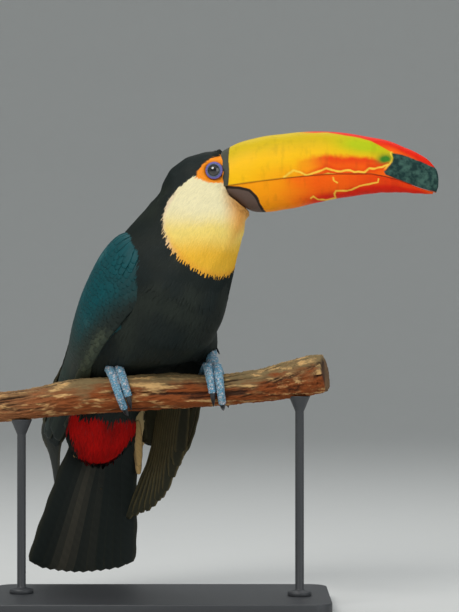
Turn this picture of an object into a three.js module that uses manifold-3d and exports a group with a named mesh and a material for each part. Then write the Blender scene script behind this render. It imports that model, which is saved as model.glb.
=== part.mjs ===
// A life-size toco toucan, perched on a cut length of branch that a plain display stand holds.
// Millimetres, +Z up, origin at the middle of the stand's underside. The bird's breast faces
// -Y and +X, its bill points along +X, and the branch runs along X.

import * as THREE from 'three';
import { mergeVertices } from 'three/addons/utils/BufferGeometryUtils.js';
import Module from 'manifold-3d';

const wasm = await Module();
wasm.setup();

// ---------------------------------------------------------------- driving dimensions

const GAP = 0.35; // clearance between neighbouring pieces

const TRUNK = {
  centre: [-10, 12, 268],
  facing: 40, // degrees that the breast is turned from -Y towards +X
  pitch: 62, // degrees that the spine rises above the horizontal
};

const HEAD = { facing: 82, base: [63.5, -30] };

const EYE = {
  along: -10.6, // behind the bill's root
  height: 399,
  radius: 7,
  depth: 18.2, // from the head's middle plane to the eyeball's centre
  lid: 22.4, // from the middle plane to the ring of bare skin
  rimDepth: 4, // depth of the hollow cut for the ring
  // The ring's outline: distance from the eye's middle and height off the lid.
  ring: [[6.7, -1.6], [7.7, -1.6], [7.1, 0.3], [6.2, 1.3], [5.3, 1.1], [5.8, 0.3]],
};

const TOE = {
  half: 4.2,
  taper: [1.12, 0.85], // thickness at the knuckle and at the tip over the middle's
  start: 12, // degrees from the branch's top to where a toe starts
  knuckle: 2.5,
  clawLength: 13,
  clawHook: 5,
  clawLift: 0.95, // the claw's root off the bark, in half toes
  clawSplay: 60,
  // Places along the claw as shares of its length, and its half thickness there in half toes.
  clawShares: [-0.12, 0.35, 0.7, 1],
  clawHalves: [0.62, 0.55, 0.36, 0.1],
};

const BASE = { length: 312, depth: 160, thick: 12, corner: 18, chamfer: 1.2 };
const ROD = { radius: 4, reach: 128, footRadius: 11, footHeight: 4, cupRadius: 10 };

// ---------------------------------------------------------------- finishes

const finish = (color, roughness, metalness = 0) =>
  new THREE.MeshStandardMaterial({ color, roughness, metalness });

const BLACK_PLUMAGE = finish(0x16201f, 0.75);
const TEAL_PLUMAGE = finish(0x123f42, 0.6);
const CREAM_PLUMAGE = finish(0xf2dd94, 0.85);
const WHITE_PLUMAGE = finish(0xeadfc4, 0.85);
const RED_PLUMAGE = finish(0xb80d06, 0.8);
const BILL_HORN = finish(0xf79a08, 0.35);
const BLUE_SKIN = finish(0x5f62b4, 0.55);
const DARK_EYE = finish(0x120d0a, 0.05);
const FOOT_SCALES = finish(0x8fb4c8, 0.6);
const CLAW_HORN = finish(0x1d1c1e, 0.35);
const BARK = finish(0x8a5836, 0.9);
const STAND_METAL = finish(0x2b2c2e, 0.45, 0.6);
const STAND_BOARD = finish(0x2b2c2e, 0.5);

// ---------------------------------------------------------------- shape tools

const radians = THREE.MathUtils.degToRad;
const point = (list) => new THREE.Vector3(...list);

/** A smooth curve through points, whose rows share one even parameter from 0 to 1. */
const curveThrough = (points) => new THREE.CatmullRomCurve3(points, false, 'catmullrom', 0.5);

/** A closed three.js geometry as a manifold-3d solid. */
function solidOf(geometry) {
  const bare = geometry.clone();
  bare.deleteAttribute('normal');
  bare.deleteAttribute('uv');
  const merged = mergeVertices(bare, 1e-4);
  return new wasm.Manifold(
    new wasm.Mesh({
      numProp: 3,
      vertProperties: new Float32Array(merged.attributes.position.array),
      triVerts: new Uint32Array(merged.index.array),
    }),
  );
}

/** A manifold-3d solid as a three.js geometry. */
function geometryOf(solid) {
  const { vertProperties, triVerts } = solid.getMesh();
  const geometry = new THREE.BufferGeometry();
  geometry.setAttribute('position', new THREE.BufferAttribute(new Float32Array(vertProperties), 3));
  geometry.setIndex(new THREE.BufferAttribute(new Uint32Array(triVerts), 1));
  geometry.computeVertexNormals();
  return geometry;
}

/** Joins overlapping solids into one. */
const joined = (solids) => solids.reduce((sum, next) => sum.add(next));

/** The largest body of a solid, without the slivers that a cut leaves beside it. */
function largestBody(solid) {
  const bodies = solid.decompose();
  return bodies.reduce((a, b) => (b.volume() > a.volume() ? b : a));
}

/** Raises a coordinate of a unit circle to give a rounder or a squarer section. */
const squared = (value, power) => Math.sign(value) * Math.abs(value) ** (2 / power);

/**
 * A closed solid along a smooth path. Each row is [x, y, z, side, back, front, facing]: the
 * section's centre, its half width, how far it reaches to the back and to the front, and the
 * direction that the front faces, in degrees from -Y towards +X. Arch bends the section's
 * back and front edges towards its inner side. Grow fattens the whole solid.
 */
function loft(rows, { around = 16, steps = 10, power = 2, arch = 0, grow = 0 } = {}) {
  const path = curveThrough(rows.map((row) => new THREE.Vector3(row[0], row[1], row[2])));
  const sizes = curveThrough(rows.map((row) => new THREE.Vector3(row[3], row[4], row[5])));
  const facings = curveThrough(rows.map((row) => new THREE.Vector3(row[6], 0, 0)));
  const geometry = new THREE.CylinderGeometry(1, 1, 1, around, steps);
  const spot = geometry.attributes.position;
  for (let i = 0; i < spot.count; i++) {
    const share = THREE.MathUtils.clamp(spot.getY(i) + 0.5, 0, 1);
    const along = path.getTangent(share);
    const facing = radians(facings.getPoint(share).x);
    const side = new THREE.Vector3(-Math.cos(facing), -Math.sin(facing), 0);
    const front = new THREE.Vector3().crossVectors(along, side).normalize();
    side.crossVectors(front, along);
    const size = sizes.getPoint(share);
    const across = -squared(spot.getX(i), power);
    const forth = squared(spot.getZ(i), power);
    const reach = forth * ((forth < 0 ? size.y : size.z) + grow);
    const place = path
      .getPoint(share)
      .addScaledVector(side, across * (size.x + grow) - arch * reach * reach)
      .addScaledVector(front, reach);
    if (grow && (share === 0 || share === 1)) place.addScaledVector(along, share ? grow : -grow);
    spot.setXYZ(i, place.x, place.y, place.z);
  }
  return solidOf(geometry);
}

// ---------------------------------------------------------------- the trunk's own frame

const facing = radians(TRUNK.facing);
const pitch = radians(TRUNK.pitch);
const SPINE = new THREE.Vector3(
  Math.cos(pitch) * Math.sin(facing),
  -Math.cos(pitch) * Math.cos(facing),
  Math.sin(pitch),
);
const RIGHT = new THREE.Vector3(-Math.cos(facing), -Math.sin(facing), 0);
const BELLY = new THREE.Vector3().crossVectors(SPINE, RIGHT);

/** A place in the trunk: up the spine, towards the belly and out to the bird's right. */
const inTrunk = (up, belly, right = 0) =>
  point(TRUNK.centre)
    .addScaledVector(SPINE, up)
    .addScaledVector(BELLY, belly)
    .addScaledVector(RIGHT, right);

// ---------------------------------------------------------------- trunk and neck

// Up the spine, towards the belly, half width, depth of back, depth of belly.
const TRUNK_ROWS = [
  [-116, -6, 14, 12, 10],
  [-106, -4, 26, 24, 14],
  [-84, 0, 38, 38, 13],
  [-46, 3, 50, 52, 22],
  [-14, 3, 54, 57, 58],
  [18, 3, 58, 57, 72],
  [46, 3, 55, 54, 72],
].map(([up, belly, ...sizes]) => [...inTrunk(up, belly).toArray(), ...sizes, TRUNK.facing]);

const NECK_ROWS = [
  [13, -13, 326, 50, 49, 68, 47],
  [22, -20, 344, 40, 43, 62, 55],
  [30, -25, 362, 33, 38, 58, 66],
  [37, -28, 380, 27, 31, 49, 76],
  [43, -29, 397, 20, 20, 24, 82],
];

const bodyForm = (grow) => loft([...TRUNK_ROWS, ...NECK_ROWS], { around: 14, steps: 14, grow });

// ---------------------------------------------------------------- head and bill

const headTurn = radians(HEAD.facing);
const FORWARD = new THREE.Vector3(Math.sin(headTurn), -Math.cos(headTurn), 0);
const HEAD_RIGHT = new THREE.Vector3(-Math.cos(headTurn), -Math.sin(headTurn), 0);

/** A place in the head: forward from the bill's root, height, and out to the bird's right. */
const inHead = (along, height, right = 0) =>
  new THREE.Vector3(HEAD.base[0], HEAD.base[1], height)
    .addScaledVector(FORWARD, along)
    .addScaledVector(HEAD_RIGHT, right);

/** A row of the head or bill, written as [along, height, side, up, down]. */
const headRow = ([along, height, ...sizes]) => [
  ...inHead(along, height).toArray(),
  ...sizes,
  HEAD.facing,
];

const HEAD_ROWS = [
  [-61, 380, 8, 8, 10],
  [-54, 381, 17, 16, 18],
  [-37, 386, 23.5, 26, 26],
  [-17, 390, 24.5, 28.4, 31],
  [-4, 390, 21.5, 28.4, 30],
  [5, 388, 19, 27, 26],
  [15, 374, 13, 12, 13],
].map(headRow);

const UPPER_BILL_ROWS = [
  [0, 385.5, 19.5, 33.5, 0],
  [20, 388.2, 19.5, 39.2, 0],
  [50, 391.8, 18.5, 41, 0],
  [90, 395.4, 16, 39.4, 0],
  [130, 395.6, 12.6, 33, 0],
  [152, 391, 9.8, 29.5, 0],
  [170, 384.4, 7, 26.6, 0],
  [181, 380.6, 4.8, 20, 0],
  [185.5, 379, 3, 12.5, 0],
  [187.5, 378.3, 1.4, 6, 0],
].map(headRow);

const LOWER_BILL_ROWS = [
  [0, 384.9, 18.5, 0, 10],
  [20, 387.6, 18.6, 0, 25.6],
  [50, 391.2, 17.6, 0, 27.2],
  [90, 394.8, 15, 0, 22.6],
  [130, 395, 11.6, 0, 17.4],
  [152, 390.4, 8.8, 0, 12.4],
  [170, 383.8, 5.8, 0, 6.4],
  [185, 379, 2.4, 0, 2.2],
].map(headRow);

const headForm = (grow) => loft(HEAD_ROWS, { around: 14, steps: 8, grow });
const upperBill = (grow) => loft(UPPER_BILL_ROWS, { around: 12, steps: 16, power: 2.2, grow });
const lowerBill = (grow) => loft(LOWER_BILL_ROWS, { around: 12, steps: 12, power: 2.2, grow });

/** Turns a shape made about +Y so that it stands out of one side of the head. */
function onCheek(geometry, hand, depth) {
  const turn = new THREE.Quaternion().setFromUnitVectors(
    new THREE.Vector3(0, 1, 0),
    HEAD_RIGHT.clone().multiplyScalar(hand),
  );
  const place = inHead(EYE.along, EYE.height, hand * depth);
  return solidOf(geometry.applyQuaternion(turn).translate(place.x, place.y, place.z));
}

const eyeball = (hand) => () =>
  onCheek(new THREE.SphereGeometry(EYE.radius, 12, 8), hand, EYE.depth);

const eyeRing = (hand) => () => {
  const profile = [...EYE.ring, EYE.ring[0]].map((spot) => new THREE.Vector2(...spot));
  return onCheek(new THREE.LatheGeometry(profile, 14), hand, EYE.lid);
};

/** The hollow that holds an eye and its ring, eight-sided so that few faces cut the head. */
const eyeSocket = (hand) => (grow) => {
  const sides = 8;
  const wide = 1 / Math.cos(Math.PI / sides);
  const globe = new THREE.SphereGeometry((EYE.radius + grow) * wide, sides, 6);
  const outer = (EYE.ring[1][0] + grow) * wide;
  const rim = new THREE.CylinderGeometry(outer, outer, EYE.rimDepth, sides);
  return joined([onCheek(globe, hand, EYE.depth), onCheek(rim, hand, EYE.lid - grow)]);
};

// ---------------------------------------------------------------- wings

// Up the spine, towards the belly, out to the side, half thickness, and the reach to the
// breast and to the back: the rows run down the wing, so the section's front is its back.
const WING_ROWS = {
  right: [
    [78, -8, 34, 3, 12, 14],
    [66, -10, 44, 7, 34, 26],
    [40, -12, 53, 8.5, 46, 36],
    [4, -12, 59, 8.5, 38, 36],
    [-34, -14, 58, 8, 26, 28],
    [-70, -28, 46, 7, 22, 18],
    [-104, -33, 44, 5.5, 30, 16],
    [-134, -35, 43, 4, 24, 14],
    [-152, -36, 42, 2.4, 18, 12],
  ],
  left: [
    [78, -8, 34, 3, 12, 14],
    [66, -10, 44, 7, 34, 26],
    [40, -12, 53, 8.5, 48, 36],
    [4, -12, 59, 8.5, 50, 44],
    [-34, -10, 60, 8, 52, 44],
    [-70, -2, 58, 7, 48, 40],
    [-104, 10, 56, 5.5, 40, 34],
    [-136, 20, 52, 3, 28, 24],
  ],
};

// The longest feather's tip, and the step from each tip to the next one.
const WING_TIPS = {
  right: {
    root: [-76, -30, 44],
    bend: [-150, -34, 39],
    longest: [-208, -12, 27],
    step: [16, -7.5, 2.4],
    spread: -6.5,
  },
  left: {
    root: [-76, 2, 57],
    bend: [-140, 27, 52],
    longest: [-211, 22, 35],
    step: [15.5, 5, 5],
    spread: 4.2,
  },
};

const WING = {
  facing: 12, // degrees that each wing is turned out from the trunk
  arch: 0.0085,
  feathers: 5,
  half: 9,
  thick: 1.2,
  middleFeather: 1.5, // the place in the row that sits on the wing's root and bend
  tuck: 0.4, // how far each long feather lies inside the one before it
};

const wingShell = (side) => (grow) => {
  const hand = side === 'right' ? 1 : -1;
  const rows = WING_ROWS[side].map(([up, belly, out, ...sizes]) => [
    ...inTrunk(up, belly, hand * out).toArray(),
    ...sizes,
    TRUNK.facing - hand * WING.facing,
  ]);
  return loft(rows, { around: 10, steps: 8, arch: hand * WING.arch, grow });
};

/** One long feather: a thin blade with a rounded tip, wide across the way that it faces. */
function feather(points, facing, { half, thick }, grow) {
  const shares = [0, 0.5, 0.92, 1];
  const widths = [0.8, 1, 1, 0.5];
  const path = curveThrough(points);
  const rows = shares.map((share, i) => {
    const reach = half * widths[i];
    return [...path.getPoint(share).toArray(), thick, reach, reach, facing];
  });
  return loft(rows, { around: 4, steps: 3, grow });
}

const flightFeathers = (side) => (grow) => {
  const hand = side === 'right' ? 1 : -1;
  const { root, bend, longest, step, spread } = WING_TIPS[side];
  const facing = TRUNK.facing - hand * WING.facing;
  const feathers = Array.from({ length: WING.feathers }, (_, i) => {
    const aside = spread * (i - WING.middleFeather);
    const inside = WING.tuck * i;
    const points = [
      [root[0], root[1] + aside, root[2] - inside],
      [bend[0], bend[1] + aside, bend[2] - inside],
      longest.map((value, axis) => value + step[axis] * i),
    ].map(([up, belly, out]) => inTrunk(up, belly, hand * out));
    return feather(points, facing, WING, grow);
  });
  return joined(feathers);
};

// ---------------------------------------------------------------- tail and its coverts

const TAIL = {
  root: [-52, 60, 166],
  facing: 22, // degrees that the tail's underside is turned from -Y towards +X
  slope: 17, // degrees that the tail slopes back from the vertical
  lean: 4.5, // degrees that the fan leans to the bird's right
  length: 156,
  outerShare: 0.95, // the outermost feathers' length over the middle ones'
  feathers: 10,
  half: 8,
  thick: 1.2,
  spread: 20, // degrees between the outermost feathers
  rootWidth: 42,
  dome: 4.2,
};

const tailTurn = radians(TAIL.facing);
const TAIL_RIGHT = new THREE.Vector3(-Math.cos(tailTurn), -Math.sin(tailTurn), 0);
const TAIL_DOWN = new THREE.Vector3(
  -Math.sin(radians(TAIL.slope)) * Math.sin(tailTurn),
  Math.sin(radians(TAIL.slope)) * Math.cos(tailTurn),
  -Math.cos(radians(TAIL.slope)),
);
const TAIL_BACK = new THREE.Vector3().crossVectors(TAIL_DOWN, TAIL_RIGHT).normalize();

const tailFan = (grow) => {
  const feathers = Array.from({ length: TAIL.feathers }, (_, i) => {
    const share = i / (TAIL.feathers - 1) - 0.5;
    const turn = radians(TAIL.lean + TAIL.spread * share);
    const middleness = 1 - Math.abs(2 * share);
    const length = TAIL.length * THREE.MathUtils.lerp(TAIL.outerShare, 1, Math.sqrt(middleness));
    const points = [0, 0.5, 1].map((along) =>
      point(TAIL.root)
        .addScaledVector(TAIL_RIGHT, TAIL.rootWidth * share + Math.sin(turn) * along * length)
        .addScaledVector(TAIL_DOWN, Math.cos(turn) * along * length)
        .addScaledVector(TAIL_BACK, TAIL.dome * middleness),
    );
    return feather(points, TAIL.facing + 90, TAIL, grow);
  });
  return joined(feathers);
};

const VENT_ROWS = [
  [-50, 38, 184, 30, 10, 8],
  [-55, 41, 167, 37, 14, 12],
  [-58, 46, 150, 34, 14, 12],
  [-59, 52, 138, 23, 11, 8],
  [-60, 56, 130, 8, 6, 4],
].map((row) => [...row, TAIL.facing]);

const RUMP_ROWS = [
  [-45, 64, 208, 24, 16, 12],
  [-50, 73, 186, 33, 15, 10],
  [-54, 78, 160, 38, 12, 9],
  [-57, 84, 136, 38, 8, 6],
  [-60, 89, 116, 31, 4.5, 4.5],
  [-61, 91, 109, 18, 2.4, 2.4],
].map((row) => [...row, TAIL.facing]);

const ventForm = (grow) => loft(VENT_ROWS, { around: 10, steps: 6, grow });
const rumpForm = (grow) => loft(RUMP_ROWS, { around: 10, steps: 5, grow });

// ---------------------------------------------------------------- perch

// Centre x, y, z and radius along the branch.
const PERCH_ROWS = [
  [-160, 8, 183, 15],
  [-118, 6, 187, 15.5],
  [-78, 3, 193.5, 17.5],
  [-30, 0, 196.5, 17.8],
  [10, -1, 198.5, 17.5],
  [52, -3, 199.5, 15.5],
  [92, -7, 204, 16],
  [120, -11, 209.5, 18],
  [140, -16, 214, 18.8],
  [151, -19, 216, 17.5],
];

const perchForm = (grow) =>
  loft(
    PERCH_ROWS.map(([x, y, z, radius]) => [x, y, z, radius, radius, radius, 90]),
    { around: 10, steps: 12, grow },
  );

/** The branch's centre and radius where it passes x. */
function perchAt(x) {
  const next = PERCH_ROWS.findIndex((row) => row[0] > x);
  const [a, b] = [PERCH_ROWS[next - 1], PERCH_ROWS[next]];
  const share = (x - a[0]) / (b[0] - a[0]);
  const row = a.map((value, i) => THREE.MathUtils.lerp(value, b[i], share));
  return { centre: new THREE.Vector3(x, row[1], row[2]), radius: row[3] };
}

// ---------------------------------------------------------------- legs and feet

// Each toe starts and ends at an x, and wraps to an angle from the branch's top: the front
// toes come over towards -Y, the rear toes go the other way.
const FEET = {
  right: {
    joint: -43,
    toes: { 1: [-38, -33, -100], 2: [-38, -28, 96], 3: [-46.5, -32, 128], 4: [-47, -56, -112] },
  },
  left: {
    joint: 48,
    toes: { 1: [43, 33, -100], 2: [44, 48.5, 96], 3: [52.5, 57.5, 130], 4: [52, 61, -112] },
  },
};

/** A place off the bark: a turn round the branch from its top, at x, lifted clear of it. */
function onPerch(x, turn, lift) {
  const { centre, radius } = perchAt(x);
  const angle = radians(turn);
  return centre.addScaledVector(
    new THREE.Vector3(0, -Math.sin(angle), Math.cos(angle)),
    radius + lift,
  );
}

const toe = (side, number) => (grow) => {
  const [from, to, reach] = FEET[side].toes[number];
  const start = TOE.start * Math.sign(reach);
  const rows = [0, 0.25, 0.5, 0.75, 1].map((share) => {
    const turn = THREE.MathUtils.lerp(start, reach, share);
    const half = TOE.half * THREE.MathUtils.lerp(...TOE.taper, share);
    const lift = half + 2 * GAP + TOE.knuckle * (1 - share) ** 4;
    const at = onPerch(THREE.MathUtils.lerp(from, to, share), turn, lift);
    return [...at.toArray(), half, half, half, 0];
  });
  return loft(rows, { around: 6, steps: 6, grow });
};

const claw = (side, number) => (grow) => {
  const [from, to, reach] = FEET[side].toes[number];
  const towards = Math.sign(reach);
  const end = onPerch(to, reach, TOE.half * TOE.clawLift);
  const inside = onPerch(to, reach, 0).sub(perchAt(to).centre).normalize();
  const ahead = new THREE.Vector3((to - from) / TOE.clawSplay, 0, 0).add(
    new THREE.Vector3(0, -Math.cos(radians(reach)) * towards, -Math.sin(radians(reach)) * towards),
  );
  const rows = TOE.clawShares.map((share, i) => {
    const at = end
      .clone()
      .addScaledVector(ahead, TOE.clawLength * share)
      .addScaledVector(inside, -TOE.clawHook * share * share);
    const half = TOE.clawHalves[i] * TOE.half;
    return [...at.toArray(), half, half, half, 0];
  });
  return loft(rows, { around: 4, steps: 3, grow });
};

const tarsus = (side) => (grow) => {
  const x = FEET[side].joint;
  const top = perchAt(x).centre.z + perchAt(x).radius;
  const rows = [
    [x, -4, top + 10, 4, 3, 3, 0],
    [x, 2, top + 12.5, 6, 4.4, 4.4, 0],
    [x, 10, top + 17, 4.8, 4.4, 4.4, 0],
    [x, 24, top + 28, 4.4, 4.4, 4.4, 0],
  ];
  return loft(rows, { around: 8, steps: 5, grow });
};

const thigh = (side) => (grow) => {
  const x = FEET[side].joint;
  const inwards = side === 'right' ? 10 : -16;
  const rows = [
    [x + inwards * 1.2, 26, 284, 16, 20, 18, 30],
    [x + inwards, 22, 262, 20, 23, 21, 30],
    [x + inwards * 0.6, 18, 244, 17, 20, 18, 20],
    [x + inwards * 0.2, 14, 231, 10, 12, 10, 10],
    [x, 12, 226, 6.5, 6.5, 6, 0],
  ];
  return loft(rows, { around: 10, steps: 5, grow });
};

// ---------------------------------------------------------------- stand

const standBase = (grow) => {
  const half = new THREE.Vector2(BASE.length / 2, BASE.depth / 2);
  const outline = new THREE.Shape();
  const corners = [[1, 1], [-1, 1], [-1, -1], [1, -1]];
  corners.forEach(([sx, sy], i) => {
    const middle = [sx * (half.x - BASE.corner), sy * (half.y - BASE.corner)];
    const [start, end] = [(i * Math.PI) / 2, ((i + 1) * Math.PI) / 2];
    outline.absarc(...middle, BASE.corner - BASE.chamfer + grow, start, end);
  });
  const plate = new THREE.ExtrudeGeometry(outline, {
    depth: BASE.thick - 2 * BASE.chamfer + grow,
    bevelThickness: BASE.chamfer,
    bevelSize: BASE.chamfer,
    bevelSegments: 1,
    curveSegments: 3,
  });
  return solidOf(plate.translate(0, 0, BASE.chamfer));
};

const standRod = (hand) => (grow) => {
  const x = hand * ROD.reach;
  const { centre, radius } = perchAt(x);
  const top = centre.z - radius + 2;
  const r = ROD.radius + grow;
  const foot = ROD.footRadius + grow;
  const base = BASE.thick + GAP;
  const profile = [
    [0, base - grow],
    [foot, base - grow],
    [foot, base + ROD.footHeight],
    [r, base + ROD.footHeight + 2 + grow],
    [r, top - 14],
    [ROD.cupRadius + grow, top + 2 + grow],
    [0, top + 2 + grow],
  ].map(([a, b]) => new THREE.Vector2(a, b));
  const rod = new THREE.LatheGeometry(profile, 12).rotateX(Math.PI / 2);
  return solidOf(rod.translate(x, centre.y, 0));
};

// ---------------------------------------------------------------- assembly

const forms = [];
const add = (name, material, make, clear = make) => forms.push({ name, material, make, clear });

add('perch', BARK, perchForm);
add('stand_base', STAND_BOARD, standBase);
add('stand_rod_left', STAND_METAL, standRod(-1));
add('stand_rod_right', STAND_METAL, standRod(1));
add('bill_upper', BILL_HORN, upperBill);
add('bill_lower', BILL_HORN, lowerBill);
for (const [side, hand] of [['right', 1], ['left', -1]]) {
  add(`eye_ring_${side}`, BLUE_SKIN, eyeRing(hand), null);
  add(`eye_${side}`, DARK_EYE, eyeball(hand), eyeSocket(hand));
  for (const number of [3, 2, 4, 1]) {
    add(`claw_${side}_${number}`, CLAW_HORN, claw(side, number));
    add(`toe_${side}_${number}`, FOOT_SCALES, toe(side, number));
  }
  add(`tarsus_${side}`, FOOT_SCALES, tarsus(side));
  add(`wing_${side}`, TEAL_PLUMAGE, wingShell(side));
}
add('vent', RED_PLUMAGE, ventForm);
add('rump', WHITE_PLUMAGE, rumpForm);
add('thigh_right', BLACK_PLUMAGE, thigh('right'));
add('thigh_left', BLACK_PLUMAGE, thigh('left'));

const lastForms = [
  { name: 'flights_right', material: BLACK_PLUMAGE, make: flightFeathers('right') },
  { name: 'flights_left', material: BLACK_PLUMAGE, make: flightFeathers('left') },
  { name: 'tail', material: BLACK_PLUMAGE, make: tailFan },
];

/** The half of space beyond a plane, big enough for the whole bird. */
function beyond(through, towards) {
  const size = 900;
  const box = new THREE.BoxGeometry(size, size, size).translate(0, size / 2, 0);
  const turn = new THREE.Quaternion().setFromUnitVectors(
    new THREE.Vector3(0, 1, 0),
    towards.clone().normalize(),
  );
  return solidOf(box.applyQuaternion(turn).translate(through.x, through.y, through.z));
}

// The head, neck and trunk are modelled whole and parted by two thin cuts.
const torso = joined([headForm(0), bodyForm(0)]);
const throatCut = { through: inHead(-10, 372), towards: new THREE.Vector3(-0.12, 0.1, 1) };
const collarCut = {
  through: new THREE.Vector3(30, -30, 318),
  towards: new THREE.Vector3(0.42, -0.2, 0.88),
};

const cutAway = (cut, sign) => {
  const shift = cut.towards.clone().normalize().multiplyScalar((sign * GAP) / 2);
  return beyond(cut.through.clone().add(shift), cut.towards.clone().multiplyScalar(sign));
};

const torsoParts = [
  ['head', BLACK_PLUMAGE, torso.intersect(cutAway(throatCut, 1))],
  ['neck', CREAM_PLUMAGE, torso.intersect(cutAway(throatCut, -1)).intersect(cutAway(collarCut, 1))],
  ['trunk', BLACK_PLUMAGE, torso.intersect(cutAway(collarCut, -1))],
];

const overlaps = (a, b) => {
  const [p, q] = [a.boundingBox(), b.boundingBox()];
  return [0, 1, 2].every((i) => p.min[i] <= q.max[i] && q.min[i] <= p.max[i]);
};

/** What is left of a solid once room has been made for the grown forms before it. */
function madeRoomFor(solid, cutters) {
  const near = cutters.filter((cutter) => overlaps(solid, cutter));
  return largestBody(near.reduce((rest, cutter) => rest.subtract(cutter), solid));
}

const toucan = new THREE.Group();
const grown = [];

function place(name, material, solid) {
  const mesh = new THREE.Mesh(geometryOf(solid), material);
  mesh.name = name;
  toucan.add(mesh);
}

for (const { name, material, make, clear } of forms) {
  place(name, material, madeRoomFor(make(0), grown));
  if (clear) grown.push(clear(GAP));
}
for (const [name, material, solid] of torsoParts) {
  place(name, material, madeRoomFor(solid, grown));
}
grown.push(joined([headForm(GAP), bodyForm(GAP)]));
for (const { name, material, make } of lastForms) {
  place(name, material, madeRoomFor(make(0), grown));
  grown.push(make(GAP));
}

export default toucan;
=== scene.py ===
"""A life-size toco toucan on a cut branch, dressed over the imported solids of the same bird."""

import logging
import math
from dataclasses import dataclass, field
from enum import Enum
from functools import partial
from typing import Any, Callable, Optional, Sequence

import bmesh
import bpy
import numpy as np
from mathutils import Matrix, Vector, noise
from mathutils.bvhtree import BVHTree


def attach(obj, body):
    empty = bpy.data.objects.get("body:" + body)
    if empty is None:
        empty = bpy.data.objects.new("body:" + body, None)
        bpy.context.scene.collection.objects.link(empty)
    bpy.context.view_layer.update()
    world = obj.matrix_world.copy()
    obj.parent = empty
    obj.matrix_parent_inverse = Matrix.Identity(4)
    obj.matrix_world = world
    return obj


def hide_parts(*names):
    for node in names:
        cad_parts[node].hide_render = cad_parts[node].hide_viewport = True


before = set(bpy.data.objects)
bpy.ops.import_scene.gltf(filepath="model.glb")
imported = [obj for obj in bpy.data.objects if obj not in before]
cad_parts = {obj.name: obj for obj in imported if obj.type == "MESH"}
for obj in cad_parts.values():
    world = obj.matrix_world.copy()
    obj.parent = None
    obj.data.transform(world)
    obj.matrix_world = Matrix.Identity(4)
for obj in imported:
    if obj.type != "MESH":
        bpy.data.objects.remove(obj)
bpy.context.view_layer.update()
log = logging.getLogger("toucan")

MM = 0.001
SEED = 7
FAR = 1e9
Array = np.ndarray
Row = Sequence[float]
BMesh = bmesh.types.BMesh
Piece = bpy.types.Object
Material = bpy.types.Material


class Hand(Enum):
    """The bird's own right or left side."""

    RIGHT = 1
    LEFT = -1

    @property
    def word(self) -> str:
        """The side's name in a piece's name."""
        return self.name.lower()


# --- vectors and paths


def unit(v: Array) -> Array:
    """Scales one vector, or each row of an array, to length one."""
    return v / np.maximum(np.linalg.norm(v, axis=-1, keepdims=True), 1e-12)


def heading(degrees: float) -> Array:
    """The level direction that is turned by some degrees from -Y towards +X."""
    a = math.radians(degrees)
    return np.array([math.sin(a), -math.cos(a), 0.0])


def rightward(degrees: float) -> Array:
    """The bird's right when it faces that many degrees from -Y towards +X."""
    a = math.radians(degrees)
    return np.array([-math.cos(a), -math.sin(a), 0.0])


def smooth(low: float, high: float, value: Array) -> Array:
    """A soft step from 0 at low to 1 at high."""
    t = np.clip((value - low) / (high - low), 0.0, 1.0)
    return t * t * (3 - 2 * t)


def mixed(a: Array, b: Array, share: Array) -> Array:
    """Blends rows of colours a and b, where share 1 is all b."""
    share = np.asarray(share)[..., None]
    return a * (1 - share) + b * share


def painted(colour: Array, *layers: tuple[Array, Array]) -> Array:
    """Lays more colours over a first one in turn.

    Args:
        colour: The first colour, or one a place.
        layers: Each further colour and its share, from 0 to 1.

    Returns:
        One colour a place.
    """
    for tone, share in layers:
        colour = mixed(colour, tone, share)
    return colour


def linear(*srgb: float) -> Array:
    """An 8-bit screen colour as linear light."""
    c = np.array(srgb, float) / 255
    return np.where(c <= 0.04045, c / 12.92, ((c + 0.055) / 1.055) ** 2.4)


def ripple(points: Array, size: float, seed: float = 0.0, detail: int = 3) -> Array:
    """Smooth fractal noise about 0 at some points.

    Args:
        points: One point a row, in millimetres.
        size: The width of the noise's largest features, in millimetres.
        seed: Shifts the noise to another place.
        detail: How many finer layers the noise has.

    Returns:
        One value a point, mostly from -1 to 1.
    """
    shift = Vector((seed * 13.7, seed * 5.1, seed * 29.3))
    return np.array([noise.fractal(Vector(p) / size + shift, 0.8, 2.0, detail) for p in points])


@dataclass
class Path:
    """A smooth curve through rows of numbers, evenly shared from 0 to 1."""

    rows: Array

    def at(self, share: Array) -> Array:
        """The row at each share of the way.

        Args:
            share: Places from 0 at the first row to 1 at the last.

        Returns:
            One row a place.
        """
        rows = np.asarray(self.rows, float)
        last = len(rows) - 1
        ends = np.vstack([2 * rows[0] - rows[1], rows, 2 * rows[-1] - rows[-2]])
        p = np.clip(np.atleast_1d(share), 0, 1) * last
        i = np.minimum(p.astype(int), last - 1)
        t = (p - i)[:, None]
        a, b, c, d = ends[i], ends[i + 1], ends[i + 2], ends[i + 3]
        v0, v1 = (c - a) / 2, (d - b) / 2
        return (2 * b - 2 * c + v0 + v1) * t**3 + (3 * c - 3 * b - 2 * v0 - v1) * t**2 + v0 * t + b

    def tangent(self, share: Array) -> Array:
        """The unit direction of the first three numbers at each share.

        Args:
            share: Places along the curve, from 0 to 1.

        Returns:
            One unit vector a place.
        """
        share = np.atleast_1d(share)
        step = 1e-3
        ahead = self.at(np.minimum(share + step, 1))[:, :3]
        behind = self.at(np.maximum(share - step, 0))[:, :3]
        return unit(ahead - behind)


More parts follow.
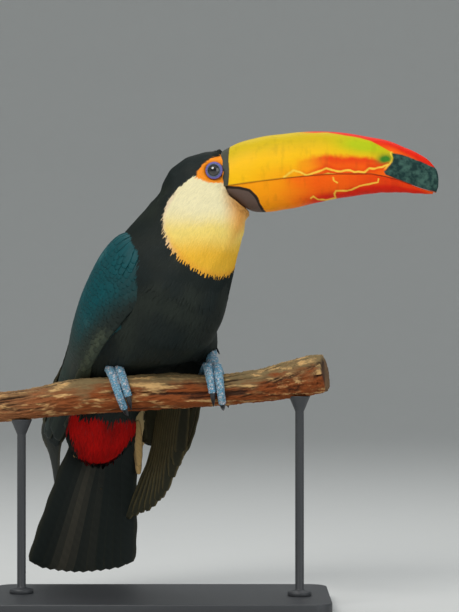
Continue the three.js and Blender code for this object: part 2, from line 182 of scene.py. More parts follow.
@dataclass
class Loft:
    """A round solid along a path, with rows of [x, y, z, side, back, front, facing]."""

    rows: Array
    power: float = 2.0
    arch: float = 0.0

    def surface(self, share: Array, turn: Array, swell: Array = 0.0) -> Array:
        """Points on the skin of the solid.

        Args:
            share: How far along the path, from 0 to 1.
            turn: The angle round it in radians, from the right side towards the front.
            swell: Millimetres added to the section's reach.

        Returns:
            One point a row, in millimetres.
        """
        rows = Path(self.rows).at(share)
        along = Path(self.rows).tangent(share)
        facing = np.radians(rows[:, 6])
        side = np.stack([-np.cos(facing), -np.sin(facing), 0 * facing], 1)
        front = unit(np.cross(along, side))
        side = np.cross(front, along)
        c, s = np.cos(turn), np.sin(turn)
        across = np.sign(c) * np.abs(c) ** (2 / self.power)
        forth = np.sign(s) * np.abs(s) ** (2 / self.power)
        reach = forth * (np.where(forth < 0, rows[:, 4], rows[:, 5]) + swell)
        out = across * (rows[:, 3] + swell) - self.arch * reach * reach
        return rows[:, :3] + side * out[:, None] + front * reach[:, None]

    def normal(self, share: Array, turn: Array) -> Array:
        """Unit directions that point out of the solid.

        Args:
            share: How far along it, from 0 to 1.
            turn: The angle round it in radians.

        Returns:
            One unit vector a place.
        """
        e = 1e-3
        du = self.surface(share, turn + e) - self.surface(share, turn - e)
        step = np.where(share > 0.5, -e, e)
        dv = (self.surface(share + step, turn) - self.surface(share, turn)) * np.sign(step)[:, None]
        n = unit(np.cross(du, dv))
        outward = self.surface(share, turn) - Path(self.rows).at(share)[:, :3]
        return n * np.sign(np.einsum("ij,ij->i", n, outward))[:, None]


def in_trunk(up: float, belly: float, right: float = 0.0) -> Array:
    """A place up the spine, towards the belly and out to the right, in millimetres."""
    return TRUNK_CENTRE + SPINE * up + BELLY * belly + TRUNK_RIGHT * right


def in_head(along: float, height: float, right: float = 0.0) -> Array:
    """A place forward from the bill's root, at a height and out to the right."""
    return BILL_ROOT + np.array([0.0, 0.0, height]) + FORWARD * along + HEAD_RIGHT * right


def head_row(row: Row) -> list[float]:
    """A row of the head or bill, written as [along, height, side, up, down]."""
    return [*in_head(row[0], row[1]), *row[2:], HEAD_FACING]


TRUNK_CENTRE = np.array([-10.0, 12.0, 268.0])
TRUNK_FACING = 40.0
TRUNK_PITCH = math.radians(62)
TRUNK_RIGHT = rightward(TRUNK_FACING)
SPINE = heading(TRUNK_FACING) * math.cos(TRUNK_PITCH) + np.array([0, 0, math.sin(TRUNK_PITCH)])
BELLY = np.cross(SPINE, TRUNK_RIGHT)
BILL_ROOT = np.array([63.5, -30.0, 0.0])
HEAD_FACING = 82.0
FORWARD = heading(HEAD_FACING)
HEAD_RIGHT = rightward(HEAD_FACING)
TAIL_FACING = 22.0


# --- meshes


def rolled(around: int, steps: int, uv: str = "Wrap") -> BMesh:
    """A flat grid whose UV map is ready for it to be rolled into a closed tube.

    Args:
        around: Faces round the tube.
        steps: Faces along it.
        uv: The UV map's name.

    Returns:
        The grid, with x and y from 0 to 1.
    """
    bm = bmesh.new()
    bmesh.ops.create_grid(bm, x_segments=around, y_segments=steps, size=0.5)
    bmesh.ops.translate(bm, vec=(0.5, 0.5, 0), verts=bm.verts)
    layer = bm.loops.layers.uv.new(uv)
    for face in bm.faces:
        for loop in face.loops:
            loop[layer].uv = loop.vert.co.xy
    return bm


def reshaped(bm: BMesh, shape: Callable[[Array], Array], weld: float) -> None:
    """Moves every vertex of a mesh and welds what then meets.

    Args:
        bm: The mesh, which is changed.
        shape: Gives the new places, in metres, for an array of the old ones.
        weld: The distance under which vertices are merged.
    """
    spots = np.array([v.co[:] for v in bm.verts])
    for vert, spot in zip(bm.verts, shape(spots)):
        vert.co = spot
    bmesh.ops.remove_doubles(bm, verts=bm.verts, dist=weld)
    bmesh.ops.recalc_face_normals(bm, faces=bm.faces)


def full_turn(place: Array) -> Array:
    """Even turns round a tube for places from 0 to 1."""
    return place * 2 * math.pi


def tube(loft: Loft, around: int, steps: int, swell: Optional[Callable[[Array, Array], Array]] = None,
         cap: float = 0.02, turns: Callable[[Array], Array] = full_turn) -> BMesh:
    """A closed, finely divided copy of a loft.

    Args:
        loft: The solid to follow.
        around: Faces round it.
        steps: Faces along it.
        swell: Millimetres added at each share and turn, or none.
        cap: The share of the grid's rows, at each end, that close it.
        turns: Gives the turn round the loft for each place from 0 to 1 across the grid.

    Returns:
        The mesh, in metres.
    """

    def shape(spots: Array) -> Array:
        """Places on the closed tube.

        Args:
            spots: Places on the flat grid.

        Returns:
            One place for each, in metres.
        """
        grid = spots[:, 1]
        share = np.clip((grid - cap) / (1 - 2 * cap), 0, 1)
        turn = turns(spots[:, 0])
        extra = swell(share, turn) if swell else 0.0
        skin = loft.surface(share, turn, extra)
        middle = Path(loft.rows).at(share)[:, :3]
        closing = np.minimum(np.minimum(grid, 1 - grid) / cap, 1)[:, None]
        return (middle + (skin - middle) * closing) * MM

    bm = rolled(around, steps)
    reshaped(bm, shape, 1e-7)
    return bm


def spun(profile: Sequence[Row], centre: Row, axis: Row, steps: int, closed: bool = False,
         weld: float = 1e-4) -> BMesh:
    """Spins a profile a full turn about an axis.

    Args:
        profile: Its corners in order.
        centre: A place on the axis.
        axis: The axis's direction.
        steps: Faces round it.
        closed: Whether the profile's last corner joins its first.
        weld: The distance under which vertices are merged.

    Returns:
        The mesh, in the profile's own unit.
    """
    bm = bmesh.new()
    verts = [bm.verts.new(corner) for corner in profile]
    after = verts[1:] + verts[:1] if closed else verts[1:]
    edges = [bm.edges.new(pair) for pair in zip(verts, after)]
    bmesh.ops.spin(bm, geom=verts + edges, cent=centre, axis=axis, angle=2 * math.pi, steps=steps,
                   use_merge=True)
    bmesh.ops.remove_doubles(bm, verts=bm.verts, dist=weld)
    return bm


def piece_of(bm: BMesh, name: str, material: Material) -> Piece:
    """Makes a smooth object of a mesh and frees the mesh.

    Args:
        bm: The mesh, which is freed.
        name: The piece's name.
        material: Its one material.

    Returns:
        The object, in the scene.
    """
    mesh = bpy.data.meshes.new(name)
    bm.to_mesh(mesh)
    bm.free()
    return shown(mesh, name, material)


def shown(mesh: bpy.types.Mesh, name: str, material: Material) -> Piece:
    """Puts a mesh in the scene as a smooth object with one material.

    Args:
        mesh: The piece's mesh.
        name: The piece's name.
        material: Its one material.

    Returns:
        The object.
    """
    mesh.polygons.foreach_set("use_smooth", np.ones(len(mesh.polygons), bool))
    mesh.materials.clear()
    mesh.materials.append(material)
    obj = bpy.data.objects.new(name, mesh)
    bpy.context.scene.collection.objects.link(obj)
    return obj


def finished(obj: Piece, slot: str, *nodes: str) -> Piece:
    """Ties a finished piece to the bird's one body and hides the nodes that it stands for.

    Args:
        obj: The piece.
        slot: The record's material slot; not used.
        nodes: The solids that it replaces, if any.

    Returns:
        The same piece.
    """
    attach(obj, "root")
    if nodes:
        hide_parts(*nodes)
    log.info("%s: %d faces", obj.name, len(obj.data.polygons))
    return obj


def averaged(values: Array, edges: Array) -> Array:
    """The mean of each vertex's neighbours.

    Args:
        values: One row of numbers a vertex.
        edges: Pairs of vertex numbers.

    Returns:
        One row a vertex.
    """
    here, there = np.concatenate([edges, edges[:, ::-1]]).T
    count = np.maximum(np.bincount(here, minlength=len(values)), 1)[:, None]
    columns = [np.bincount(here, values[there, i], len(values)) for i in range(values.shape[1])]
    return np.stack(columns, 1) / count


def eased(spots: Array, edges: Array, weight: Array, rounds: int) -> Array:
    """Smooths a mesh, drawing each vertex towards its neighbours by its own weight.

    Args:
        spots: The vertices.
        edges: Pairs of vertex numbers.
        weight: How strongly each vertex is smoothed, from 0 to 1.
        rounds: How many times.

    Returns:
        The new vertices.
    """
    for _ in range(rounds):
        spots = spots + 0.5 * weight * (averaged(spots, edges) - spots)
    return spots


def read(items: Sequence, name: str, wide: int, kind: type = float) -> Array:
    """One attribute of every item of a mesh's list, one row an item.

    Args:
        items: Vertices, edges or triangles.
        name: The attribute's name.
        wide: How many numbers it holds.
        kind: Their type.

    Returns:
        One row an item.
    """
    flat = np.zeros(len(items) * wide, kind)
    items.foreach_get(name, flat)
    return flat.reshape(-1, wide)


def spots_of(mesh: bpy.types.Mesh) -> Array:
    """A mesh's vertices in millimetres."""
    return read(mesh.vertices, "co", 3) / MM


def tinted(mesh: bpy.types.Mesh, colours: Array) -> None:
    """Writes one linear colour a vertex to the attribute that the finishes read.

    Args:
        mesh: The mesh to colour.
        colours: One colour a vertex.
    """
    layer = mesh.color_attributes.new("tint", "FLOAT_COLOR", "POINT")
    rgba = np.ones((len(mesh.vertices), 4), np.float32)
    rgba[:, :3] = colours
    layer.data.foreach_set("color", rgba.ravel())


# --- finishes


@dataclass(frozen=True)
class Finish:
    """A surface whose colour comes from the mesh and whose fine grain is noise.

    Attributes:
        name: The material's name.
        roughness: The mean roughness.
        grain: Size of the fine grain, in millimetres.
        grain_depth: Height of the grain, in millimetres.
        mottle: How much the grain darkens the colour, from 0 to 1.
        stretch: Squeezes the grain along X, Y and Z.
        coat: Strength of the clear coat.
        coat_roughness: Its roughness.
        specular: Strength of the plain reflection.
    """

    name: str
    roughness: float
    grain: float = 1.0
    grain_depth: float = 0.1
    mottle: float = 0.15
    stretch: tuple[float, float, float] = (1.0, 1.0, 1.0)
    coat: float = 0.0
    coat_roughness: float = 0.1
    specular: float = 0.5

    def material(self) -> Material:
        """Builds the material.

        Returns:
            The material.
        """
        made = bpy.data.materials.new(self.name)
        made.use_nodes = True
        nodes = made.node_tree.nodes
        links = made.node_tree.links
        shader = nodes["Principled BSDF"]
        tint = nodes.new("ShaderNodeAttribute")
        tint.attribute_name = "tint"
        grain = nodes.new("ShaderNodeGroup")
        grain.node_tree = grain_group()
        given = {"Scale": 1 / (self.grain * MM), "Mottle": self.mottle, "Stretch": self.stretch,
                 "Roughness": self.roughness}
        for socket, value in given.items():
            grain.inputs[socket].default_value = value
        links.new(tint.outputs["Color"], grain.inputs["Color"])
        links.new(grain.outputs["Color"], shader.inputs["Base Color"])
        links.new(grain.outputs["Roughness"], shader.inputs["Roughness"])
        bump = nodes.new("ShaderNodeBump")
        bump.inputs["Distance"].default_value = self.grain_depth * MM
        bump.inputs["Strength"].default_value = 1.0
        links.new(grain.outputs["Height"], bump.inputs["Height"])
        links.new(bump.outputs["Normal"], shader.inputs["Normal"])
        own = {"Specular IOR Level": self.specular, "Coat Weight": self.coat,
               "Coat Roughness": self.coat_roughness}
        for socket, value in own.items():
            shader.inputs[socket].default_value = value
        return made


SOCKETS = {"a": 0, "b": 1, "c": 2, "scale": "Scale"}


def grain_group() -> bpy.types.NodeTree:
    """The shared grain: a mottled colour, an uneven roughness and a height, made once.

    Returns:
        The node group.
    """
    found = bpy.data.node_groups.get("Fine grain")
    if found:
        return found
    tree = bpy.data.node_groups.new("Fine grain", "ShaderNodeTree")
    face = tree.interface
    for name, kind in (("Color", "Color"), ("Scale", "Float"), ("Mottle", "Float"),
                       ("Roughness", "Float"), ("Stretch", "Vector")):
        face.new_socket(name, in_out="INPUT", socket_type=f"NodeSocket{kind}")
    for name, kind in (("Color", "Color"), ("Roughness", "Float"), ("Height", "Float")):
        face.new_socket(name, in_out="OUTPUT", socket_type=f"NodeSocket{kind}")
    nodes, links = tree.nodes, tree.links
    given, put = nodes.new("NodeGroupInput").outputs, nodes.new("NodeGroupOutput").inputs

    def worked(kind: str, operation: str, **values: Any) -> bpy.types.NodeSocket:
        """Adds a maths node.

        Args:
            kind: The node's type.
            operation: What it works out.
            values: Its inputs, each another node's socket or a plain number.

        Returns:
            The socket with its outcome.
        """
        node = nodes.new(kind)
        node.operation = operation
        for key, value in values.items():
            socket = node.inputs[SOCKETS[key]]
            if isinstance(value, float):
                socket.default_value = value
            else:
                links.new(value, socket)
        return node.outputs[0]

    place = nodes.new("ShaderNodeTexCoord").outputs["Object"]
    speckle = nodes.new("ShaderNodeTexNoise")
    speckle.inputs["Detail"].default_value = 4.0
    stretched = worked("ShaderNodeVectorMath", "MULTIPLY", a=place, b=given["Stretch"])
    links.new(stretched, speckle.inputs["Vector"])
    links.new(given["Scale"], speckle.inputs["Scale"])
    fleck, mottle = speckle.outputs["Fac"], given["Mottle"]
    less = worked("ShaderNodeMath", "MULTIPLY_ADD", a=mottle, b=-0.5, c=1.0)
    shade = worked("ShaderNodeMath", "MULTIPLY_ADD", a=fleck, b=mottle, c=less)
    links.new(worked("ShaderNodeVectorMath", "SCALE", a=given["Color"], scale=shade), put["Color"])
    rough = worked("ShaderNodeMath", "MULTIPLY_ADD", a=fleck, b=0.12, c=given["Roughness"])
    links.new(rough, put["Roughness"])
    links.new(fleck, put["Height"])
    return tree


# --- plumage colours

BLACK = linear(20, 30, 29)
BLACK_WARM = linear(28, 34, 29)
SLATE = linear(48, 58, 50)
TEAL = linear(0, 72, 78)
PALE_TEAL = linear(62, 110, 112)
CREAM = linear(240, 230, 186)
BUTTER = linear(244, 218, 120)
YOLK = linear(242, 188, 56)
AMBER = linear(232, 146, 50)
HONEY = linear(238, 160, 58)
ORANGE_SKIN = linear(246, 142, 14)
SCARLET = linear(196, 10, 6)
CRIMSON = linear(130, 8, 4)
WHITE = linear(232, 206, 150)
BLUSH = linear(226, 196, 172)
OLIVE = linear(84, 78, 52)
COVERT_EDGE = linear(84, 92, 72)
SHADE_BROWN = linear(104, 84, 66)
FLIGHT_EDGE = linear(112, 100, 66)
TAIL_BROWN = linear(72, 68, 58)
STRIP = linear(206, 170, 112)
STRIP_EDGE = linear(176, 146, 104)


@dataclass
class NeckFrame:
    """Where a place on the head or neck lies round the bird's own, twisting middle plane."""

    rows: Array = field(default_factory=lambda: np.array([
        [-20.0, 4.0, 270.0, 40.0],
        [2.0, -3.0, 300.0, 44.0],
        [13.0, -13.0, 326.0, 47.0],
        [22.0, -20.0, 344.0, 55.0],
        [30.0, -25.0, 362.0, 66.0],
        [40.0, -28.0, 380.0, 82.0],
        [46.0, -28.0, 420.0, 82.0],
    ]))

    def mirrored(self, points: Array) -> Array:
        """Moves every place on the bird's left side to the same place on its right side.

        Args:
            points: Places in millimetres.

        Returns:
            The moved places.
        """
        z = points[:, 2]
        x0, y0, facing = (np.interp(z, self.rows[:, 2], self.rows[:, i]) for i in (0, 1, 3))
        a = np.radians(facing)
        right = np.stack([-np.cos(a), -np.sin(a)], 1)
        flat = points[:, :2] - np.stack([x0, y0], 1)
        side = np.einsum("ij,ij->i", flat, right)
        made = points.copy()
        made[:, :2] += right * np.where(side < 0, -2 * side, 0)[:, None]
        return made


def inside(outline: Sequence[Row], spots: Array) -> Array:
    """Signed distance of flat points from a closed outline, above 0 within it.

    Args:
        outline: The outline's corners in order.
        spots: The flat points.

    Returns:
        One distance a point.
    """
    corners = np.array(outline, float)
    away = np.full(len(spots), FAR)
    within = np.zeros(len(spots), bool)
    for p, q in zip(corners, np.roll(corners, -1, axis=0)):
        edge = q - p
        t = np.clip(((spots - p) @ edge) / (edge @ edge), 0, 1)
        away = np.minimum(away, np.linalg.norm(spots - p - t[:, None] * edge, axis=1))
        crosses = (p[1] > spots[:, 1]) != (q[1] > spots[:, 1])
        if abs(edge[1]) > 1e-9:
            at = p[0] + (spots[:, 1] - p[1]) * edge[0] / edge[1]
            within ^= crosses & (spots[:, 0] < at)
    return np.where(within, away, -away)


@dataclass
class Markings:
    """The colours of the bird's skin and coat, by place.

    Attributes:
        neck: The bird's own middle plane, from the trunk to the head.
        bib: Outline of the pale throat in X and Z, seen from the bird's right.
        bare: Outline of the bare face in the head's own length and height.
        vent: Outline of the red under the tail in X and Z.
    """

    neck: NeckFrame = field(default_factory=NeckFrame)
    bib: tuple[Row, ...] = (
        (31, 394), (15.6, 382), (7, 369.9), (2.5, 358), (3, 343), (9, 329.7),
        (20.5, 316), (34.4, 306.6), (50.3, 301.2), (62, 300.6), (80, 300),
        (110, 330), (110, 384), (62, 392), (50, 391),
    )
    bare: tuple[Row, ...] = (
        (-27.4, 391.6), (-25.4, 399.4), (-20.7, 405.8), (-13.4, 411.4), (-5.3, 414.6), (-1, 413.4),
        (8, 414), (8, 386.6), (-7, 386.9), (-18, 388.2), (-25.2, 390.6),
    )
    vent: tuple[Row, ...] = (
        (-47, 163), (-53.6, 168), (-84.5, 175), (-88, 162), (-82, 148), (-74, 130.5),
        (-58.7, 128.5), (-47, 130.5), (-37, 140.5), (-28, 152.3), (-19.5, 164.5), (-40.5, 167),
    )

    def head_flat(self, points: Array) -> Array:
        """Places in the head's own length and height."""
        along = (points - BILL_ROOT) @ FORWARD
        return np.stack([along, points[:, 2]], 1)

    def bib_depth(self, points: Array) -> Array:
        """Millimetres within the bib's edge."""
        right = self.neck.mirrored(points)
        return inside(self.bib, right[:, [0, 2]])

    def bare_depth(self, points: Array) -> Array:
        """Millimetres within the bare face."""
        return inside(self.bare, self.head_flat(points))

    def plumage(self, points: Array, region: Array, jitter: Array) -> Array:
        """Linear colours of the coat.

        Args:
            points: Places in millimetres.
            region: The node that each place belongs to, as in Region.
            jitter: A random number from -1 to 1 for each place.

        Returns:
            One colour a place.
        """
        z = points[:, 2]
        cloud = ripple(points, 30.0, 1.0, 2)
        black = mixed(BLACK, BLACK_WARM, np.clip(0.5 + cloud, 0, 1))
        bib = self.bib_depth(points)
        low = smooth(374, 305, z + 2 * cloud)
        forward = self.neck.mirrored(points)[:, 0] - 0.12 * (366 - z)
        side = smooth(4.5, 0.0, bib) * smooth(316, 336, z) * smooth(386, 370, z)
        pale = painted(
            CREAM,
            (BUTTER, smooth(0.0, 0.45, low)),
            (YOLK, smooth(0.4, 0.9, low)),
            (HONEY, 0.85 * smooth(54, 75, forward)),
            (AMBER, 0.45 * (smooth(9.0, 0.0, bib) * smooth(360, 318, z))),
            (BLUSH, 0.6 * side),
        )
        named = (Region.HEAD, Region.VENT, Region.RUMP, Region.WING)
        head, vent, rump, wing = (region == one.value for one in named)
        red = mixed(SCARLET, CRIMSON, np.clip(0.4 + 0.6 * cloud + 0.3 * jitter, 0, 1))
        seen = inside(self.vent, points[:, [0, 2]]) + 1.5 * jitter
        colour = painted(
            black,
            (SLATE, 0.25 * smooth(0.0, 0.8, cloud)),
            (pale, (bib + 0.35 * jitter > 0).astype(float)),
            (ORANGE_SKIN, smooth(-0.5, 0.5, self.bare_depth(points)) * head),
            (red, vent * smooth(-1.0, 0.5, seen)),
            (mixed(WHITE, SLATE, 0.6 * smooth(150, 118, z)), rump.astype(float)),
            # Painted sheen: the black plumage drawn teal on the upper wing, where the light falls on it.
            (TEAL, 0.8 * wing * smooth(225, 250, z)),
        )
        return colour * (1 + 0.06 * jitter[:, None])


class Region(Enum):
    """The flesh of the bird that a place on the skin belongs to."""

    HEAD = 0
    NECK = 1
    TRUNK = 2
    THIGH = 3
    VENT = 4
    RUMP = 5
    WING = 6

    @property
    def nodes(self) -> tuple[str, ...]:
        """The CAD nodes of the region.

        Returns:
            Their names.
        """
        word = self.name.lower()
        paired = self in (Region.THIGH, Region.WING)
        return (f"{word}_right", f"{word}_left") if paired else (word,)

    @property
    def ease(self) -> float:
        """How strongly the skin is smoothed there."""
        return (0.28, 0.45, 1.0, 0.4, 0.4, 0.4, 0.12)[self.value]


def flesh_nodes() -> list[tuple[Region, bpy.types.Mesh]]:
    """Every flesh node's mesh with its region."""
    return [(region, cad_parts[name].data) for region in Region for name in region.nodes]


# --- skin


@dataclass
class Skin:
    """One closed skin under the whole coat.

    Attributes:
        grid: Width of the skin's own faces, in millimetres.
        swell: How far the flesh is fattened so that its thin cuts close, in millimetres.
        coat: Depth of the coat over the skin, in millimetres.
        rounds: How many times the skin is smoothed.
        calm: How many times the directions out of it are averaged.
        touches: Small corrections, each a place, a move and how far it reaches, in millimetres.
        shape, region, outs: The built skin, and each vertex's region and direction outwards.
    """

    grid: float = 1.9
    swell: float = 0.3
    coat: float = 0.9
    rounds: int = 44
    calm: int = 9
    touches: tuple[tuple[Row, Row, float], ...] = (
        ((83.0, -32.0, 365.0), (4.2, -0.4, 0.0), 7.5),
        ((79.0, -34.0, 350.0), (-1.8, 0.4, 0.0), 9.0),
        ((76.0, -36.0, 334.0), (-1.8, 0.4, 0.0), 16.0),
    )
    markings: Markings = field(default_factory=Markings)
    shape: Optional[Piece] = None
    region: Array = field(default_factory=lambda: np.zeros(0, int))
    outs: Array = field(default_factory=lambda: np.zeros((0, 3)))

    def flesh(self) -> BMesh:
        """The flesh nodes' own shapes in one mesh, slightly fattened.

        Returns:
            The mesh, in metres.
        """
        bm = bmesh.new()
        for _, mesh in flesh_nodes():
            bm.from_mesh(mesh)
        bmesh.ops.remove_doubles(bm, verts=bm.verts, dist=1e-6)
        bm.normal_update()
        for vert in bm.verts:
            vert.co += vert.normal * self.swell * MM
        return bm

    def regions(self, points: Array) -> Array:
        """The region of the nearest flesh to each place.

        Args:
            points: Places in millimetres.

        Returns:
            One region's value a place.
        """
        corners: list[Vector] = []
        faces: list[tuple[int, ...]] = []
        owners: list[int] = []
        for region, mesh in flesh_nodes():
            first = len(corners)
            corners += [v.co / MM for v in mesh.vertices]
            faces += [tuple(first + i for i in p.vertices) for p in mesh.polygons]
            owners += [region.value] * len(mesh.polygons)
        tree = BVHTree.FromPolygons(corners, faces)
        return np.array([owners[tree.find_nearest(Vector(p))[2]] for p in points])

    def trimmed(self, spots: Array) -> Array:
        """Draws the face's rim back to the bill's root and fills out the chin.

        Args:
            spots: The skin's vertices.

        Returns:
            The moved vertices.
        """
        flat = self.markings.head_flat(spots)
        limit = np.interp(flat[:, 1], [376, 384, 392, 408, 418], [30, 0.5, -2.2, -2.8, -4.4])
        spots = spots - np.maximum(flat[:, 0] - limit, 0)[:, None] * FORWARD
        for at, move, reach in self.touches:
            weight = np.exp(-(np.linalg.norm(spots - np.array(at), axis=1) / reach) ** 2)
            spots = spots + weight[:, None] * np.array(move)
        return spots

    def build(self) -> None:
        """Remeshes the flesh to one even skin, smooths it and sinks it under the coat."""
        made = piece_of(self.flesh(), "skin_source", bpy.data.materials.new("Skin source"))
        remesh = made.modifiers.new("One skin", "REMESH")
        remesh.mode = "VOXEL"
        remesh.voxel_size = self.grid * MM
        ready = made.evaluated_get(bpy.context.evaluated_depsgraph_get())
        mesh = bpy.data.meshes.new_from_object(ready)
        mesh.name = "skin"
        bpy.data.objects.remove(made)
        edges = read(mesh.edges, "vertices", 2, int)
        spots = spots_of(mesh)
        self.region = self.regions(spots)
        weight = np.array([region.ease for region in Region])[self.region][:, None]
        for _ in range(4):
            weight = averaged(weight, edges)
        spots = self.trimmed(eased(spots, edges, weight, self.rounds))
        mesh.vertices.foreach_set("co", (spots * MM).astype(np.float32).ravel())
        mesh.update()
        self.outs = read(mesh.vertices, "normal", 3)
        for _ in range(self.calm):
            self.outs = unit(self.outs + averaged(self.outs, edges))
        spots -= self.outs * (self.coat + self.swell)
        mesh.vertices.foreach_set("co", (spots * MM).astype(np.float32).ravel())
        mesh.update()
        finish = Finish("Skin", roughness=0.62, grain=1.2, grain_depth=0.35, mottle=0.35, specular=0.3)
        self.shape = shown(mesh, "skin", finish.material())
        tinted(mesh, self.markings.plumage(spots, self.region, np.zeros(len(spots))))
        nodes = [name for region in Region for name in region.nodes]
        finished(self.shape, "plumage_black", *nodes)


# --- coat


@dataclass(frozen=True)
class Vane:
    """One small closed feather, flat and thin, that lies along +Y from its root.

    Attributes:
        along: Places along the feather as shares of its length.
        half: Half width at each, as a share of the feather's half width.
        rise: How far the feather bows out at its middle, as a share of its length.
        thick: Half thickness at the middle, as a share of the half width.
    """

    along: tuple[float, ...] = (0.0, 0.3, 0.62, 0.88, 1.0)
    half: tuple[float, ...] = (0.0, 0.75, 1.0, 0.66, 0.0)
    rise: float = 0.02
    thick: float = 0.05

    def template(self) -> tuple[Array, Array, Array]:
        """The feather's triangles.

        Returns:
            Vertices as [across, along, up], triangles, and each triangle corner's place on the map.
        """
        bm = rolled(4, len(self.along) - 1)
        at = np.linspace(0, 1, len(self.along))

        def shape(spots: Array) -> Array:
            """Places on the feather.

            Args:
                spots: Places on the flat grid.

            Returns:
                One place for each, as [across, along, up].
            """
            turn = spots[:, 0] * 2 * math.pi
            half = np.interp(spots[:, 1], at, self.half)
            along = np.interp(spots[:, 1], at, self.along)
            up = np.sin(turn) * half * self.thick
            up += self.rise * np.sin(along * math.pi)
            return np.stack([np.cos(turn) * half, along, up], 1)

        reshaped(bm, shape, 1e-5)
        bmesh.ops.triangulate(bm, faces=bm.faces)
        layer = bm.loops.layers.uv.active
        corners = [[loop[layer].uv[:] for loop in face.loops] for face in bm.faces]
        spots = np.array([v.co[:] for v in bm.verts])
        faces = np.array([[v.index for v in face.verts] for face in bm.faces])
        bm.free()
        return spots, faces, np.array(corners)


BARB = Vane(along=(0.0, 0.25, 0.72, 1.0), half=(0.0, 0.9, 0.8, 0.0), rise=0.02, thick=0.12)


@dataclass
class Tuft:
    """Many feathers of one tract, one a row.

    Attributes:
        root: Where each feather grows, in millimetres.
        lie: The direction that it lies in.
        out: The direction away from the skin.
        length: Its length in millimetres.
        half: Its half width in millimetres.
        tilt: How far its tip stands off, as a share of its length.
        colour: Its linear colour.
        map_at: The root's place on an unwrap of the skin.
    """

    root: Array
    lie: Array
    out: Array
    length: Array
    half: Array
    tilt: Array
    colour: Array
    map_at: Array


PATCH = 0.003
PATCH_PITCH = PATCH * 1.08
PATCH_SEARCH = 9


def patches(map_at: Array) -> Array:
    """Moves each root's place on the map to the nearest free square, so that no two share one.

    Args:
        map_at: Places on an unwrap of the skin.

    Returns:
        The low corner of each root's own square.
    """
    low, high = map_at.min(0), map_at.max(0)
    count = int(1 / PATCH_PITCH)
    cells = np.floor((map_at - low) / (high - low) * (count - 1)).astype(int)
    taken: set[tuple[int, int]] = set()
    reach = range(-PATCH_SEARCH, PATCH_SEARCH + 1)
    ring = sorted(((i, j) for i in reach for j in reach), key=lambda s: s[0] ** 2 + s[1] ** 2)
    for k, (i, j) in enumerate(cells):
        near = ((i + di, j + dj) for di, dj in ring)
        free = (cell for cell in near if 0 <= min(cell) and max(cell) < count and cell not in taken)
        spot = next(free, (i, j))
        taken.add(spot)
        cells[k] = spot
    return cells * PATCH_PITCH


def coat_mesh(name: str, vane: Vane, tuft: Tuft) -> bpy.types.Mesh:
    """Joins one copy of a feather for every root into a mesh with its colours and map.

    Args:
        name: The mesh's name.
        vane: The feather's form.
        tuft: The roots and the look of each feather.

    Returns:
        The mesh.
    """
    spots, faces, corners = vane.template()
    count, size = len(tuft.root), len(spots)
    side = unit(np.cross(tuft.lie, tuft.out))
    across = spots[:, 0][None, :, None] * (tuft.half[:, None, None] * side[:, None, :])
    along = spots[:, 1][None, :, None] * (tuft.length[:, None, None] * tuft.lie[:, None, :])
    lift = spots[:, 2][None, :] * tuft.length[:, None]
    lift += spots[:, 1][None, :] * (tuft.tilt * tuft.length)[:, None]
    places = tuft.root[:, None, :] + across + along + lift[..., None] * tuft.out[:, None, :]
    mesh = bpy.data.meshes.new(name)
    mesh.vertices.add(count * size)
    mesh.vertices.foreach_set("co", (places * MM).astype(np.float32).ravel())
    indices = (faces[None] + (np.arange(count) * size)[:, None, None]).ravel()
    mesh.loops.add(len(indices))
    mesh.loops.foreach_set("vertex_index", indices.astype(np.int32))
    mesh.polygons.add(len(indices) // 3)
    mesh.polygons.foreach_set("loop_start", np.arange(0, len(indices), 3, dtype=np.int32))
    mesh.update()
    home = patches(tuft.map_at)
    flat = home[:, None, None, :] + corners[None] * PATCH
    mesh.uv_layers.new(name="OFBake").data.foreach_set("uv", flat.astype(np.float32).ravel())
    shade = 0.95 + 0.07 * spots[:, 1]
    colours = tuft.colour[:, None, :] * shade[None, :, None]
    tinted(mesh, colours.reshape(-1, 3))
    soft = tuft.out[:, None, :] + 0.35 * spots[:, 0][None, :, None] * side[:, None, :]
    soft = soft + 0.12 * spots[:, 1][None, :, None] * tuft.lie[:, None, :]
    mesh.normals_split_custom_set_from_vertices(unit(soft).reshape(-1, 3).tolist())
    return mesh


def pinned(at: Array, way: Array) -> tuple[tuple[float, ...], tuple[float, ...]]:
    """A place and a direction as plain numbers."""
    return tuple(map(float, at)), tuple(map(float, way))


